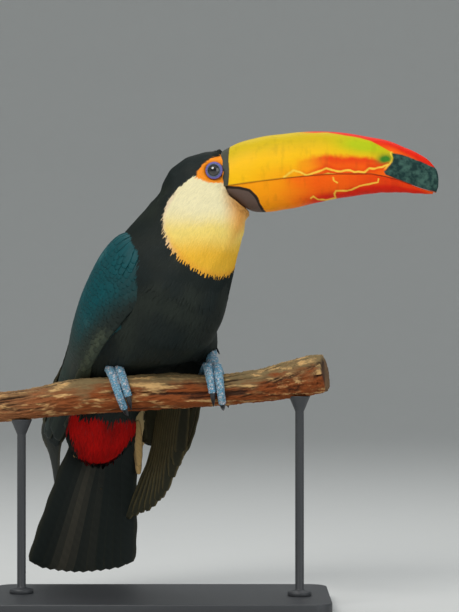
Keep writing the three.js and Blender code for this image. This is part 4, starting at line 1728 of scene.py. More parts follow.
@dataclass
class Foot:
    """A foot with two toes in front of the branch and two behind it.

    Attributes:
        hand: The side.
        perch: The branch that it grips.
        joint: Where along the branch the shank stands.
        toes: For each toe, x where it starts and ends, and the turn round the branch at its end.
        half: Half a toe's thickness.
        start: The turn round the branch at which toes start, in degrees.
        knuckle: How far their roots stand off the bark.
        scute, plate: Width of the rings round a toe and of the small plates in them.
        claw_length, claw_hook: A claw's length and how far its point turns in.
        shank_form: The shank's form, as [y, height over the branch, half width, half depth].
        toe_faces, claw_faces, shank_faces: Faces round and along each.
    """

    hand: Hand
    perch: Perch
    joint: float
    toes: dict[int, tuple[float, float, float]]
    half: float = 4.2
    start: float = 12.0
    knuckle: float = 2.5
    scute: float = 2.3
    plate: float = 1.7
    claw_length: float = 13.0
    claw_hook: float = 5.0
    shank_length: float = 34.0
    shank_form: tuple[Row, ...] = (
        (-4, 9, 4, 3), (2, 11.5, 6, 4.4), (10, 16.5, 4.8, 4.4), (24, 27.5, 4.4, 4.4))
    toe_faces: tuple[int, int] = (44, 170)
    claw_faces: tuple[int, int] = (20, 36)
    shank_faces: tuple[int, int] = (32, 60)

    def toe_rows(self, number: int) -> Array:
        """The toe's own rows along the bark.

        Args:
            number: Which toe.

        Returns:
            Rows for a loft.
        """
        first, last, reach = self.toes[number]
        rows = []
        for share in (0, 0.25, 0.5, 0.75, 1):
            turn = self.start * math.copysign(1, reach) * (1 - share) + reach * share
            half = self.half * (1.12 - 0.27 * share)
            lift = half - 0.3 + self.knuckle * (1 - share) ** 4
            at = self.perch.off_bark(first + (last - first) * share, turn, lift)
            rows.append([*at, half, half, half, 0])
        return np.array(rows)

    def claw_rows(self, number: int) -> Array:
        """The claw's own rows, from inside the toe to its hooked point.

        Args:
            number: Which toe.

        Returns:
            Rows for a loft.
        """
        first, last, reach = self.toes[number]
        towards = math.copysign(1, reach)
        end = self.perch.off_bark(last, reach, self.half * 0.85)
        inside_bark = unit(self.perch.off_bark(last, reach, 0) - self.perch.at(last)[0])
        a = math.radians(reach)
        ahead = np.array([(last - first) / 60, -math.cos(a) * towards, -math.sin(a) * towards])
        rows = []
        for share, half in ((-0.15, 0.62), (0.2, 0.58), (0.5, 0.44), (0.8, 0.24), (1.0, 0.06)):
            at = end + ahead * self.claw_length * share - inside_bark * self.claw_hook * share**2
            rows.append([*at, half * self.half, half * self.half, half * self.half, 0])
        return np.array(rows)

    def scales(self, length: float, share: Array, turn: Array) -> Array:
        """Overlapping scutes round a toe or shank.

        Args:
            length: The piece's length, in millimetres.
            share: How far along it, from 0 to 1.
            turn: The angle round it in radians.

        Returns:
            Millimetres added to its radius.
        """
        place = share * length / self.scute
        saw = place - np.floor(place)
        return -0.1 - 0.4 * saw**3 + 0.10 * np.sin(turn * 5 + np.floor(place) * 2.1)

    def scaled(self, obj: Piece) -> Piece:
        """Presses small cracked plates into a piece and colours them blue, dusty and dark.

        Args:
            obj: The piece, which is changed.

        Returns:
            The same piece.
        """
        points = spots_of(obj.data)
        outs = read(obj.data.vertices, "normal", 3)
        seam, plate = np.zeros(len(points)), np.zeros(len(points))
        for i, point in enumerate(points):
            gaps, middles = noise.voronoi(Vector(point / self.plate))
            seam[i] = gaps[1] - gaps[0]
            plate[i] = math.modf(abs(middles[0].x * 12.9 + middles[0].y * 78.2 + middles[0].z * 37.7))[0]
        pressed = smooth(0.22, 0.02, seam)
        obj.data.vertices.foreach_set("co", ((points - outs * (0.3 * pressed)[:, None]) * MM).ravel())
        obj.data.update()
        dust = ripple(points, 6.0, 11.0, 3)
        dusty = 0.8 * smooth(0.72, 0.8, plate + 0.25 * dust)
        seams = 0.8 * pressed
        tinted(obj.data, painted(SCALE_BLUE, (SCALE_PALE, plate), (SCALE_DUST, dusty), (SCALE_SEAM, seams)))
        return obj

    def build(self) -> None:
        """Builds the shank, the toes and the claws."""
        word = self.hand.word
        scales = Finish("Foot scales", roughness=0.55, grain=1.1, grain_depth=0.3, mottle=0.45, specular=0.4)
        horn = Finish("Claw horn", roughness=0.3, grain=1.5, grain_depth=0.08, mottle=0.3, specular=0.5)
        scaly, horny = scales.material(), horn.material()
        for number in self.toes:
            loft = Loft(self.toe_rows(number))
            length = float(np.linalg.norm(np.diff(loft.rows[:, :3], axis=0), axis=1).sum())
            toe = tube(loft, *self.toe_faces, partial(self.scales, length), cap=0.03)
            obj = piece_of(toe, f"scaled_toe_{word}_{number}", scaly)
            finished(self.scaled(obj), "foot_scales", f"toe_{word}_{number}")
            claw = tube(Loft(self.claw_rows(number)), *self.claw_faces, cap=0.03)
            obj = piece_of(claw, f"horn_claw_{word}_{number}", horny)
            share = np.linspace(0, 1, len(obj.data.vertices))
            tinted(obj.data, mixed(CLAW_ROOT, CLAW_TIP, share))
            finished(obj, "claw_horn", f"claw_{word}_{number}")
        x = self.joint
        centre, radius = self.perch.at(x)
        top = centre[2] + radius
        rows = np.array([[x, y, top + high, wide, deep, deep, 0] for y, high, wide, deep in self.shank_form])
        shank = tube(Loft(rows), *self.shank_faces, partial(self.scales, self.shank_length), cap=0.03)
        obj = piece_of(shank, f"shank_{word}", scaly)
        finished(self.scaled(obj), "foot_scales", f"tarsus_{word}")


# --- stand


@dataclass
class Stand:
    """A painted board and two steel rods that carry the branch.

    Attributes:
        perch: The branch to carry.
        length, depth, thick: The board's size, in millimetres.
        corner, chamfer: How far its corners and edges are cut round.
        rod: A rod's radius.
        bite: How far a rod's cup reaches into the branch.
        reach: How far each rod stands from the middle.
        paint: The colour of all of it.
    """

    perch: Perch
    length: float = 312.0
    depth: float = 160.0
    thick: float = 12.0
    corner: float = 18.0
    chamfer: float = 1.2
    rod: float = 4.0
    bite: float = 1.6
    reach: float = 128.0
    paint: Array = field(default_factory=lambda: linear(58, 60, 63))

    def board(self) -> None:
        """The flat base with rounded corners and softened edges."""
        bm = bmesh.new()
        bmesh.ops.create_cube(bm, size=1)
        bmesh.ops.scale(bm, vec=(self.length * MM, self.depth * MM, self.thick * MM), verts=bm.verts)
        bmesh.ops.translate(bm, vec=(0, 0, self.thick / 2 * MM), verts=bm.verts)
        upright = [e for e in bm.edges if abs(e.verts[0].co.z - e.verts[1].co.z) > 1e-6]
        bmesh.ops.bevel(bm, geom=upright, offset=self.corner * MM, offset_type="OFFSET", affect="EDGES",
                        segments=14, profile=0.5, material=-1)
        rims = [e for e in bm.edges if abs(e.verts[0].co.z - e.verts[1].co.z) < 1e-6
                and len(e.link_faces) == 2 and abs(e.calc_face_angle(0)) > 0.7]
        bmesh.ops.bevel(bm, geom=rims, offset=self.chamfer * MM, offset_type="OFFSET", affect="EDGES",
                        segments=3, profile=0.5, material=-1)
        bmesh.ops.recalc_face_normals(bm, faces=bm.faces)
        finish = Finish("Painted board", roughness=0.42, grain=1.2, grain_depth=0.05, mottle=0.1)
        obj = piece_of(bm, "stand_board", finish.material())
        for polygon in obj.data.polygons:
            polygon.use_smooth = abs(polygon.normal.z) < 0.999
        tinted(obj.data, np.tile(self.paint, (len(obj.data.vertices), 1)))
        finished(obj, "stand_board", "stand_base")

    def upright(self, hand: int, node: str, material: Material) -> None:
        """One rod with its foot and the cup under the branch.

        Args:
            hand: -1 for the left rod or 1 for the right one.
            node: The solid that it replaces.
            material: Its material.
        """
        x = hand * self.reach
        centre, radius = self.perch.at(x)
        top = centre[2] - radius + self.bite
        foot = ((0, 0), (10.6, 0), (11, 0.5), (11, 3.5), (10.4, 4.1), (4.6, 5.2), (self.rod, 6.4))
        cup = ((self.rod, -14), (4.6, -12.6), (9.6, -0.6), (9.8, 0), (0, 0))
        profile = [(x + a, centre[1], self.thick + b) for a, b in foot]
        profile += [(x + a, centre[1], top + b) for a, b in cup]
        bm = spun(profile, (x, centre[1], 0), (0, 0, 1), 48)
        bmesh.ops.scale(bm, vec=(MM, MM, MM), verts=bm.verts)
        bmesh.ops.recalc_face_normals(bm, faces=bm.faces)
        obj = piece_of(bm, node.replace("rod", "upright"), material)
        tinted(obj.data, np.tile(self.paint, (len(obj.data.vertices), 1)))
        finished(obj, "stand_metal", node)

    def build(self) -> None:
        """Builds the board and both rods."""
        self.board()
        steel = Finish("Painted steel", roughness=0.4, grain=1.0, grain_depth=0.03, mottle=0.08).material()
        self.upright(-1, "stand_rod_left", steel)
        self.upright(1, "stand_rod_right", steel)


# --- long feathers


@dataclass
class Quill:
    """One long feather: a thin, slightly hollow blade along a path.

    Attributes:
        path: Places along its shaft, in millimetres.
        out: Directions that its outer face looks in at those places.
        half: Its half width.
        colour: The vane's colour.
        edge: The colour of the vane's edges.
        thick: Half its thickness, in millimetres.
        point: How much it narrows to its tip, from 0 to 1.
    """

    path: Array
    out: Array
    half: float
    colour: Array
    edge: Array
    thick: float = 0.45
    point: float = 0.0


@dataclass(frozen=True)
class Blade:
    """The shape that every long feather shares.

    Attributes:
        around, steps: Faces round it and along it.
        shares, widths: Places along it and its width there, as shares.
        hollow: How far its edges droop, as a share of its half width.
        shaft: How far its shaft stands up, in millimetres.
    """

    around: int = 12
    steps: int = 24
    shares: tuple[float, ...] = (0.0, 0.06, 0.3, 0.7, 0.9, 0.96, 0.985, 1.0)
    widths: tuple[float, ...] = (0.35, 0.6, 0.95, 1.0, 0.96, 0.85, 0.68, 0.35)
    hollow: float = 0.09
    shaft: float = 0.35

    def mesh(self, name: str, quills: Sequence[Quill], rng: np.random.Generator) -> bpy.types.Mesh:
        """Joins one blade for every feather, with its colours and map.

        Args:
            name: The mesh's name.
            quills: The feathers.
            rng: The source of their small differences.

        Returns:
            The mesh.
        """
        bm = rolled(self.around, self.steps, "OFBake")
        grid = np.array([v.co[:] for v in bm.verts])
        faces = np.array([[v.index for v in face.verts] for face in bm.faces])
        layer = bm.loops.layers.uv.active
        flat = np.array([[loop[layer].uv[:] for loop in face.loops] for face in bm.faces])
        bm.free()
        turn = grid[:, 0] * 2 * math.pi
        cap = 0.5 / self.steps
        share = np.clip((grid[:, 1] - cap) / (1 - 2 * cap), 0, 1)
        closing = np.minimum(np.minimum(grid[:, 1], 1 - grid[:, 1]) / cap, 1)
        spots, colours, maps, indices = [], [], [], []
        columns = math.ceil(math.sqrt(len(quills) * 3))
        tall = math.ceil(len(quills) / columns)
        for k, quill in enumerate(quills):
            wide = np.interp(share, self.shares, self.widths) * quill.half
            wide *= 1 - quill.point * smooth(0.6, 1.0, share)
            path = Path(quill.path)
            at, along = path.at(share), path.tangent(share)
            out = Path(quill.out).at(share)
            out = unit(out - along * np.einsum("ij,ij->i", out, along)[:, None])
            side = np.cross(along, out)
            across = np.cos(turn)
            wave = 1 + 0.04 * np.sin(share * 31 + rng.uniform(0, 6)) * (np.abs(across) > 0.9)
            high = np.sin(turn) * quill.thick * (1 - 0.4 * across**2)
            high += self.shaft * np.exp(-((across / 0.16) ** 2)) * np.sign(np.sin(turn)) * (1 - share) * 0.8
            high -= self.hollow * wide * across**2
            reach = side * (across * wide * wave * closing)[:, None]
            spots.append(at + reach + out * (high * closing)[:, None])
            tone = mixed(quill.colour, quill.edge, smooth(0.62, 0.98, np.abs(across)))
            barb = 1 + 0.10 * np.sin(share * 95 + np.abs(across) * 5 + k)
            colours.append(tone * barb[:, None] * rng.uniform(0.94, 1.06))
            corner = np.array([k % columns / columns, k // columns / tall])
            maps.append(corner + flat * np.array([0.94 / columns, 0.94 / tall]))
            indices.append(faces + k * len(grid))
        made = bmesh_of(np.vstack(spots), np.vstack(indices), np.vstack(maps))
        mesh = bpy.data.meshes.new(name)
        tone = np.vstack(colours)
        order = made.verts.layers.int.new("order")
        for i, vert in enumerate(made.verts):
            vert[order] = i
        bmesh.ops.remove_doubles(made, verts=made.verts, dist=1e-7)
        kept = [vert[order] for vert in made.verts]
        made.verts.layers.int.remove(order)
        made.to_mesh(mesh)
        made.free()
        tinted(mesh, tone[kept])
        return mesh


def bmesh_of(spots: Array, faces: Array, maps: Array) -> BMesh:
    """A mesh of many joined copies, with its map.

    Args:
        spots: Vertices in millimetres.
        faces: Vertex numbers, one face a row.
        maps: The place on the map of each face's corners.

    Returns:
        The mesh, in metres.
    """
    mesh = bpy.data.meshes.new("joined")
    mesh.from_pydata((spots * MM).tolist(), [], faces.tolist())
    mesh.uv_layers.new(name="OFBake").data.foreach_set("uv", maps.astype(np.float32).ravel())
    bm = bmesh.new()
    bm.from_mesh(mesh)
    bpy.data.meshes.remove(mesh)
    bmesh.ops.recalc_face_normals(bm, faces=bm.faces)
    return bm


@dataclass(frozen=True)
class Layer:
    """One kind of feather on the wing, in rows down it.

    Attributes:
        first: How far up the spine the first row starts, in millimetres.
        last: The last row's start.
        step: The distance between rows.
        length: A feather's length.
        half: A feather's half width.
        gap: The distance between neighbours in a row.
        inner: Whether it lies on the wing's inner face.
        front, back: How far rows reach to the breast and to the back, from 1 to -1.
    """

    first: float
    last: float
    step: float
    length: float
    half: float
    gap: float
    inner: bool = False
    front: float = 0.97
    back: float = -0.97


@dataclass
class Wing:
    """A folded wing with its rows of coverts and its long flight feathers.

    Attributes:
        rows: The folded wing's own form, as [up, belly, out, half thickness, breast, back].
        roots, bends, tips: Lines through the primaries' roots, middles and tips, as [up, belly, out].
        turned: How far the wing's face turns from the trunk's, in degrees.
        arch: How much it curves round the trunk.
        primaries, flight_half: How many primaries there are and their half width.
        long_from, wide_from: The length and half width from which a feather is a quill.
        layers: The kinds of feather on the folded wing.
    """

    hand: Hand
    rows: tuple[Row, ...]
    roots: tuple[Row, ...]
    bends: tuple[Row, ...]
    tips: tuple[Row, ...]
    turned: float = 12.0
    arch: float = 0.0085
    primaries: int = 11
    flight_half: float = 8.4
    long_from: float = 40.0
    wide_from: float = 6.0
    layers: tuple[Layer, ...] = (
        Layer(-66, -74, 8, 84, 7.5, 8.5, inner=True),
        Layer(-62, -72, 10, 84, 7.5, 8.5),
        Layer(-40, -48, 8, 44, 6.5, 7.5),
        Layer(77, -34, 4.4, 18, 3.4, 3.9),
    )

    def loft(self) -> Loft:
        """The folded wing's solid.

        Returns:
            The loft, in millimetres.
        """
        hand = self.hand.value
        facing = TRUNK_FACING - hand * self.turned
        rows = [[*in_trunk(r[0], r[1], hand * r[2]), *r[3:], facing] for r in self.rows]
        return Loft(np.array(rows), arch=hand * self.arch)

    def share_at(self, up: Array) -> Array:
        """The share of the wing's length at a distance up the spine."""
        ups = np.array([row[0] for row in self.rows], float)
        return np.interp(-np.asarray(up), -ups, np.linspace(0, 1, len(ups)))

    def turn_at(self, forth: Array, inner: bool) -> Array:
        """The turn round the wing's section that reaches so far to the breast.

        Args:
            forth: From -1 at the back to 1 at the breast.
            inner: Whether it is on the wing's inner face.

        Returns:
            Turns in radians.
        """
        turn = np.arcsin(np.clip(-forth, -0.995, 0.995))
        outer_is_right = (self.hand is Hand.RIGHT) != inner
        return turn if outer_is_right else math.pi - turn

    def colours(self, root: Array, up: float, forth: float, inner: bool, long: bool) -> tuple[Array, Array]:
        """The colours of a feather's vane and of its edges.

        Args:
            root: Where it grows, in millimetres.
            up: How far up the spine that is.
            forth: From -1 at the back to 1 at the breast.
            inner: Whether it is on the wing's inner face.
            long: Whether it is longer than a covert.

        Returns:
            The two colours.
        """
        low = float(smooth(30, -40, up))
        # Painted sheen: the black coverts drawn teal, with paler teal patches, on the upper and back part of
        # the wing, where the light falls.
        teal = float(smooth(0.85, 0.2, forth - 0.006 * (up - 10)))
        cloud = float(ripple(root[None], 22.0, 21.0, 3)[0])
        middle = float(smooth(14, 2, up)) * float(smooth(-80, -40, up))
        streak = math.exp(-((forth - 0.88) / 0.1) ** 2) * middle
        colour = painted(
            mixed(BLACK, SLATE, 0.2),
            (TEAL, teal * (0.95 + 0.3 * cloud)),
            (PALE_TEAL, 0.5 * float(smooth(0.25, 0.7, cloud)) * teal),
            (mixed(BLACK, SLATE, 0.8), low * 0.9),
            (BLACK, 0.5 * low * float(smooth(-0.5, -0.9, forth))),
            (BLACK, 0.75 * float(smooth(-55, -75, up))),
            (COVERT_EDGE, 0.5 * streak),
        )
        if self.hand is Hand.LEFT:
            front = float(smooth(0.5, 0.9, forth)) * float(smooth(10, -8, up))
            colour = mixed(colour, SHADE_BROWN, 0.6 * front)
        if inner:
            colour = mixed(BLACK, OLIVE, 0.4)
        edge = mixed(colour, SLATE, 0.06)
        if long:
            edge = mixed(colour, OLIVE, 0.6 if self.hand is Hand.LEFT else 0.22)
        return colour, edge

    def on_wing(self, layer: Layer, rng: np.random.Generator) -> list[Quill]:
        """The feathers of one layer, lying on the wing's form.

        Args:
            layer: The kind of feather.
            rng: The source of small differences.

        Returns:
            The feathers.
        """
        loft = self.loft()
        quills = []
        long = layer.length > self.long_from
        ups = np.arange(layer.first, layer.last - 0.1, -layer.step)
        for k, up in enumerate(ups[::-1]):
            share = float(self.share_at(up)[()])
            row = Path(loft.rows).at(share)[0]
            reach = (row[4] + row[5]) / 2
            count = max(3, int(2 * reach / layer.gap))
            for j in range(count):
                forth = layer.back + (layer.front - layer.back) * (j + 0.5 * (k % 2)) / (count - 0.5)
                if forth > layer.front:
                    continue
                start = up + rng.uniform(-1, 1)
                length = layer.length * rng.uniform(0.92, 1.06)
                if long:
                    length *= 1 - 0.22 * abs(forth)
                ups_along = np.linspace(start, start - length, 5)
                shares = np.minimum(self.share_at(ups_along), 0.985)
                turns = self.turn_at(np.full(5, forth) * np.linspace(1, 0.97, 5), layer.inner)
                rise = np.linspace(-1.8 if long else -1.2, -0.1, 5)
                path = loft.surface(shares, turns, rise)
                out = loft.normal(shares, turns)
                colour, edge = self.colours(path[0], up, forth, layer.inner, long)
                quills.append(Quill(path, out, layer.half, colour, edge, thick=0.45 if long else 0.14))
        return quills

    def flights(self) -> list[Quill]:
        """The primaries, whose tips reach beyond the folded wing.

        Returns:
            The feathers.
        """
        hand = self.hand.value
        quills = []
        out = rightward(TRUNK_FACING - hand * self.turned) * hand
        left = self.hand is Hand.LEFT
        for share in np.linspace(0, 1, self.primaries):
            shaft = [Path(np.array(rows)).at(share)[0] for rows in (self.roots, self.bends, self.tips)]
            path = np.array([in_trunk(up, belly, hand * right) for up, belly, right in shaft])
            colour = mixed(BLACK, OLIVE, 0.30 if left else 0.12)
            edge = mixed(colour, FLIGHT_EDGE, 0.7 if left else 0.25)
            out_rows = np.tile(out, (3, 1))
            quills.append(Quill(path, out_rows, self.flight_half, colour, edge, thick=0.6, point=0.35))
        return quills

    def build(self, finish: Finish) -> list[Piece]:
        """Builds the coverts and the flight feathers.

        Args:
            finish: The feathers' finish.

        Returns:
            The three pieces.
        """
        rng = np.random.default_rng(SEED + self.hand.value)
        word = self.hand.word
        material = finish.material()
        blade = Blade()
        coverts = [quill for layer in self.layers for quill in self.on_wing(layer, rng)]
        small = Blade(around=8, steps=9)
        narrow = [quill for quill in coverts if quill.half < self.wide_from]
        wide = [quill for quill in coverts if quill.half >= self.wide_from]
        groups = ((f"wing_coverts_{word}", narrow, small, "plumage_teal", ()),
                  (f"wing_quills_{word}", wide, blade, "plumage_teal", ()),
                  (f"wing_flights_{word}", self.flights(), blade, "plumage_black", (f"flights_{word}",)))
        return [finished(shown(shape.mesh(name, quills, rng), name, material), slot, *nodes)
                for name, quills, shape, slot, nodes in groups]


@dataclass
class Tail:
    """The fan of twelve long feathers that hangs behind the branch.

    Attributes:
        root: The middle of the fan's upper end, in millimetres.
        slope, lean: How far it slopes away and leans to the side, in degrees.
        length, half: A middle feather's length and every feather's half width.
        outer_share: The outermost feather's share of that length.
        spread: The angle between the outermost two, in degrees.
        root_width: The width of the fan's upper end.
        dome: How far the middle stands behind the sides.
        strip_reach, strip_half: Each pale strip's side and length, and their half width.
    """

    root: tuple[float, float, float] = (-52.0, 60.0, 166.0)
    slope: float = 17.0
    lean: float = 4.5
    length: float = 153.8
    outer_share: float = 0.95
    feathers: int = 12
    half: float = 10.5
    spread: float = 20.0
    root_width: float = 42.0
    dome: float = 3.6
    strip_reach: tuple[tuple[int, float], ...] = ((-1, 52), (-1, 44), (1, 34), (1, 28))
    strip_half: float = 4.2

    def quills(self) -> list[Quill]:
        """The fan of feathers, the middle pair behind the others.

        Returns:
            The feathers.
        """
        right = rightward(TAIL_FACING)
        slope = math.radians(self.slope)
        down = -heading(TAIL_FACING) * math.sin(slope) - np.array([0, 0, math.cos(slope)])
        back = unit(np.cross(down, right))
        made = []
        for i in range(self.feathers):
            share = i / (self.feathers - 1) - 0.5
            turn = math.radians(self.lean + self.spread * share)
            middleness = 1 - abs(2 * share)
            length = self.length * (self.outer_share + (1 - self.outer_share) * math.sqrt(middleness))
            path = np.array([
                np.array(self.root) + right * (self.root_width * share + math.sin(turn) * along * length)
                + down * math.cos(turn) * along * length + back * (self.dome * middleness - 0.3)
                for along in (0.0, 0.5, 1.0)])
            pale = math.exp(-(((share - 0.22) / 0.12) ** 2)) + 0.4 * math.exp(-(((share + 0.1) / 0.06) ** 2))
            colour = mixed(BLACK, TAIL_BROWN, min(0.08 + 0.7 * pale, 1))
            edge = mixed(colour, OLIVE, 0.2)
            made.append(Quill(path, np.tile(-back, (3, 1)), self.half, colour, edge, thick=0.5))
        return made

    def strips(self) -> list[Quill]:
        """The pale feathers of the rump that reach down beside the tail's root.

        Returns:
            The feathers.
        """
        right = rightward(TAIL_FACING)
        made = []
        out = np.tile(heading(TAIL_FACING), (3, 1))
        for side, reach in self.strip_reach:
            start = np.array(self.root) + right * side * 31.0 + np.array([0.0, 6.0, 2.0])
            start = start - heading(TAIL_FACING) * (reach - 44) * 0.25
            aim = np.array([0.0, 0.02, -1.0]) + right * side * 0.03
            path = np.array([start + aim * reach * share for share in (0.0, 0.5, 1.0)])
            made.append(Quill(path, out, self.strip_half, STRIP, STRIP_EDGE, thick=0.5, point=0.3))
        return made

    def build(self, finish: Finish) -> None:
        """Builds the fan and the pale strips.

        Args:
            finish: The fan's finish.
        """
        rng = np.random.default_rng(SEED)
        mesh = Blade(steps=34).mesh("tail_feathers", self.quills(), rng)
        finished(shown(mesh, "tail_feathers", finish.material()), "plumage_black", "tail")
        mesh = Blade().mesh("tail_strips", self.strips(), rng)
        finished(shown(mesh, "tail_strips", SILK.material()), "plumage_white")


# --- studio


@dataclass
class Studio:
    """The camera, the soft lights and the pale floor.

    Attributes:
        camera_at: The camera's place, in millimetres.
        focal: Its focal length on a 36 mm sensor.
        floor: The floor's linear colour.
        floor_profile: The floor's radius and height from its middle to its rim, in metres.
        floor_drop: How far it lies under the stand, in metres.
    """

    camera_at: tuple[float, float, float] = (63.94, -2200.0, 276.92)
    focal: float = 140.665
    floor: Array = field(default_factory=lambda: np.array([0.62, 0.63, 0.62]))
    floor_drop: float = 0.0003
    floor_profile: tuple[Row, ...] = (
        (0, 0), (0.5, 0), (1.2, 0), (2.0, 0), (2.8, 0), (3.1, 0.01), (3.4, 0.05), (3.7, 0.13), (4.0, 0.27),
        (4.25, 0.45), (4.45, 0.68), (4.6, 0.95), (4.68, 1.3), (4.7, 1.8), (4.7, 3.0),
    )

    def camera(self) -> None:
        """The level camera in front of the bird."""
        data = bpy.data.cameras.new("camera")
        data.lens = self.focal
        data.sensor_width = 36.0
        data.sensor_fit = "AUTO"
        data.clip_start, data.clip_end = 0.05, 60.0
        cam = bpy.data.objects.new("camera", data)
        cam.location = Vector(self.camera_at) * MM
        cam.rotation_euler = (math.radians(90), 0, 0)
        bpy.context.scene.collection.objects.link(cam)
        bpy.context.scene.camera = cam

    def light(self, name: str, at: Row, size: float, power: float, colour: Row = (1, 1, 1)) -> None:
        """One soft square light that looks at the bird.

        Args:
            name: The light's name.
            at: Its place, in metres.
            size: The width of its square, in metres.
            power: Its power, in watts.
            colour: Its linear colour.
        """
        data = bpy.data.lights.new(name, "AREA")
        data.size = size
        data.energy = power
        data.color = tuple(colour)
        lamp = bpy.data.objects.new(name, data)
        lamp.location = Vector(at)
        lamp.rotation_euler = (Vector((0.02, 0, 0.28)) - Vector(at)).to_track_quat("-Z", "Y").to_euler()
        bpy.context.scene.collection.objects.link(lamp)

    def backdrop(self) -> None:
        """A pale round floor whose rim curves up on every side, well beyond the camera."""
        profile = [(radius, 0, height - self.floor_drop) for radius, height in self.floor_profile]
        bm = spun(profile, (0, 0, 0), (0, 0, 1), 96, weld=1e-6)
        bmesh.ops.recalc_face_normals(bm, faces=bm.faces)
        finish = Finish("Floor", roughness=0.9, grain=40.0, grain_depth=0.0, mottle=0.02, specular=0.1)
        floor = piece_of(bm, "floor", finish.material())
        tinted(floor.data, np.tile(self.floor, (len(floor.data.vertices), 1)))

    def build(self) -> None:
        """Builds the studio."""
        self.camera()
        self.backdrop()
        self.light("key", (-0.9, -1.5, 1.7), 1.1, 30.0, (1.0, 0.98, 0.95))
        self.light("fill", (1.5, -1.3, 0.7), 1.6, 11.0, (0.93, 0.97, 1.0))
        self.light("top", (0.1, 0.5, 1.9), 1.4, 14.0)
        world = bpy.data.worlds.new("studio")
        world.use_nodes = True
        world.node_tree.nodes["Background"].inputs["Color"].default_value = (0.80, 0.84, 0.86, 1.0)
        world.node_tree.nodes["Background"].inputs["Strength"].default_value = 0.45
        bpy.context.scene.world = world
        bpy.context.scene.view_settings.view_transform = "Standard"


# --- the whole bird

RIGHT_WING = Wing(
    Hand.RIGHT,
    rows=((78, -8, 34, 3, 12, 14), (66, -10, 44, 7, 34, 26), (40, -12, 53, 8.5, 46, 36),
          (4, -12, 59, 8.5, 38, 36), (-34, -14, 58, 8, 26, 28), (-70, -28, 46, 7, 22, 18),
          (-104, -33, 44, 5.5, 30, 16),
          (-134, -35, 43, 4, 24, 14), (-152, -36, 42, 2.4, 18, 12)),
    roots=((-76, -20, 44), (-76, -46, 42.4)),
    bends=((-150, -24, 39), (-150, -50, 37.4)),
    tips=((-208, -12, 27), (-176, -27, 31.8), (-144, -42, 36.6)),
)
LEFT_WING = Wing(
    Hand.LEFT,
    rows=((78, -8, 34, 3, 12, 14), (66, -10, 44, 7, 34, 26), (40, -12, 53, 8.5, 48, 36),
          (4, -12, 59, 8.5, 50, 44), (-34, -10, 60, 8, 52, 44), (-70, -2, 58, 7, 48, 40),
          (-104, 10, 56, 5.5, 40, 34),
          (-136, 20, 52, 3, 28, 24)),
    roots=((-76, -4, 49.5), (-66, 26, 51)),
    bends=((-142, 20, 46), (-132, 34, 46.5), (-112, 44, 49)),
    tips=((-210, 22, 35), (-198, 32, 37), (-188, 42, 38.5), (-175, 47, 41), (-166, 50, 43), (-142, 51, 46),
          (-124, 50, 49)),
)

SATIN = Finish("Black plumage", roughness=0.58, grain=0.9, grain_depth=0.08, mottle=0.3, specular=0.22)
SILK = Finish("Pale plumage", roughness=0.72, grain=0.8, grain_depth=0.05, mottle=0.06, specular=0.15)
GLOSS = Finish("Wing plumage", roughness=0.5, grain=0.7, grain_depth=0.06, mottle=0.25, specular=0.2)


def beyond_reach(pieces: Sequence[Piece], points: Array, reach: float) -> Array:
    """Whether each place, in millimetres, is further than a reach from every piece.

    Args:
        pieces: The pieces to keep away from.
        points: The places.
        reach: The distance, in millimetres.

    Returns:
        Yes or no for each place.
    """
    far = np.ones(len(points), bool)
    for piece in pieces:
        mesh = piece.data
        corners = [v.co / MM for v in mesh.vertices]
        tree = BVHTree.FromPolygons(corners, [p.vertices[:] for p in mesh.polygons])
        far &= np.array([tree.find_nearest(Vector(p))[3] > reach for p in points])
    return far


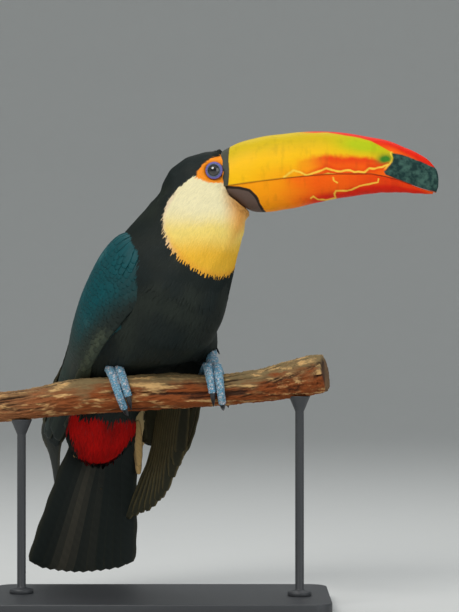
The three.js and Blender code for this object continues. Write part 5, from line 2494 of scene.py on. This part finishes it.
def plumage(coat: Coat, coverts: Sequence[Piece]) -> None:
    """Lays the small feathers over the skin, tract by tract.

    Args:
        coat: The coat to lay.
        coverts: The wings' own feathers, beside which the wings' bare skin is covered too.
    """
    marks = coat.markings
    region, centre = coat.region, coat.centre
    bib = marks.bib_depth(centre)
    bare = marks.bare_depth(centre)
    flat = marks.head_flat(centre)
    facing = coat.normals.mean(axis=1) @ FORWARD
    at_bill = (flat[:, 0] > -5) & (facing > 0.55) & (flat[:, 1] > 382)
    at_bill |= (flat[:, 0] > 0.6) & (flat[:, 1] > 384 - 0.95 * flat[:, 0])
    headneck = (region == Region.HEAD.value) | (region == Region.NECK.value) | (region == Region.TRUNK.value)
    headneck &= ~at_bill
    blur = 5 * ripple(centre, 14.0, 2.0, 2)
    face = centre[:, 2] > 372 + blur
    low = centre[:, 2] < 298 + 2 * blur

    def dark(seen: Array) -> Array:
        """Whether a feather shows outside the bib and the bare face."""
        behind = (marks.head_flat(seen)[:, 0] < -4.6) | (seen[:, 2] < 380)
        return (marks.bib_depth(seen) < 0.2) & (marks.bare_depth(seen) < -0.2) & behind

    def pale(seen: Array) -> Array:
        """Whether a feather shows on the bib."""
        return (marks.bib_depth(seen) > -0.2) & (marks.bare_depth(seen) < -0.2)

    crown = Tract("crown_feathers", "plumage_black", SATIN, 1.2, 5.0, 0.7, 0.01, vane=BARB)
    coat.lay(crown, headneck & face & (bib < 8) & (bare < 4), Region.HEAD, dark)
    throat = Tract("throat_feathers", "plumage_cream", SILK, 1.15, 5.5, 0.75, 0.006, vane=BARB)
    coat.lay(throat, headneck & (bib > -8) & (bare < 4), Region.NECK, pale)
    nape = Tract("nape_feathers", "plumage_black", SATIN, 1.6, 8.0, 0.9, 0.015, vane=BARB)
    coat.lay(nape, headneck & ~face & ~low & (bib < 10), Region.NECK, dark)
    body = Tract("body_feathers", "plumage_black", SATIN, 2.2, 12.0, 1.5, 0.012)
    coat.lay(body, headneck & low, Region.TRUNK, dark)
    thigh = Tract("thigh_feathers", "plumage_black", SATIN, 2.0, 10.0, 1.3, 0.03)
    coat.lay(thigh, region == Region.THIGH.value, Region.THIGH)
    vent = Tract("vent_feathers", "plumage_red", SILK, 1.5, 11.0, 0.8, 0.012, stray=0.25)
    coat.lay(vent, region == Region.VENT.value, Region.VENT)
    wing = (region == Region.WING.value) & (centre[:, 2] > 236)
    wing[wing] = beyond_reach(coverts, centre[wing], 2.2)
    mantle = Tract("mantle_feathers", "plumage_black", SATIN, 2.2, 12.0, 1.5, 0.012)
    coat.lay(mantle, wing, Region.TRUNK)
    rump = Tract("rump_feathers", "plumage_white", SILK, 2.0, 14.0, 1.3, 0.02)
    coat.lay(rump, region == Region.RUMP.value, Region.RUMP)


def main() -> None:
    """Builds the whole bird, its perch, its stand and the studio."""
    logging.basicConfig(level=logging.INFO, format="%(message)s")
    markings = Markings()
    skin = Skin(markings=markings)
    skin.build()
    coat = Coat(skin)
    coverts = [piece for wing in (RIGHT_WING, LEFT_WING) for piece in wing.build(GLOSS)]
    plumage(coat, coverts)
    Tail().build(SATIN)
    Bill().build()
    for hand in Hand:
        Eye(hand).build()
    perch = Perch()
    perch.build()
    Foot(Hand.RIGHT, perch, -43, {1: (-38, -33, -100), 2: (-38, -28, 96), 3: (-46.5, -32, 128),
                                  4: (-47, -56, -112)}).build()
    Foot(Hand.LEFT, perch, 48, {1: (43, 33, -100), 2: (44, 48.5, 96), 3: (52.5, 57.5, 130),
                                4: (52, 61, -112)}).build()
    Stand(perch).build()
    Studio().build()


if __name__ == "__main__":
    main()
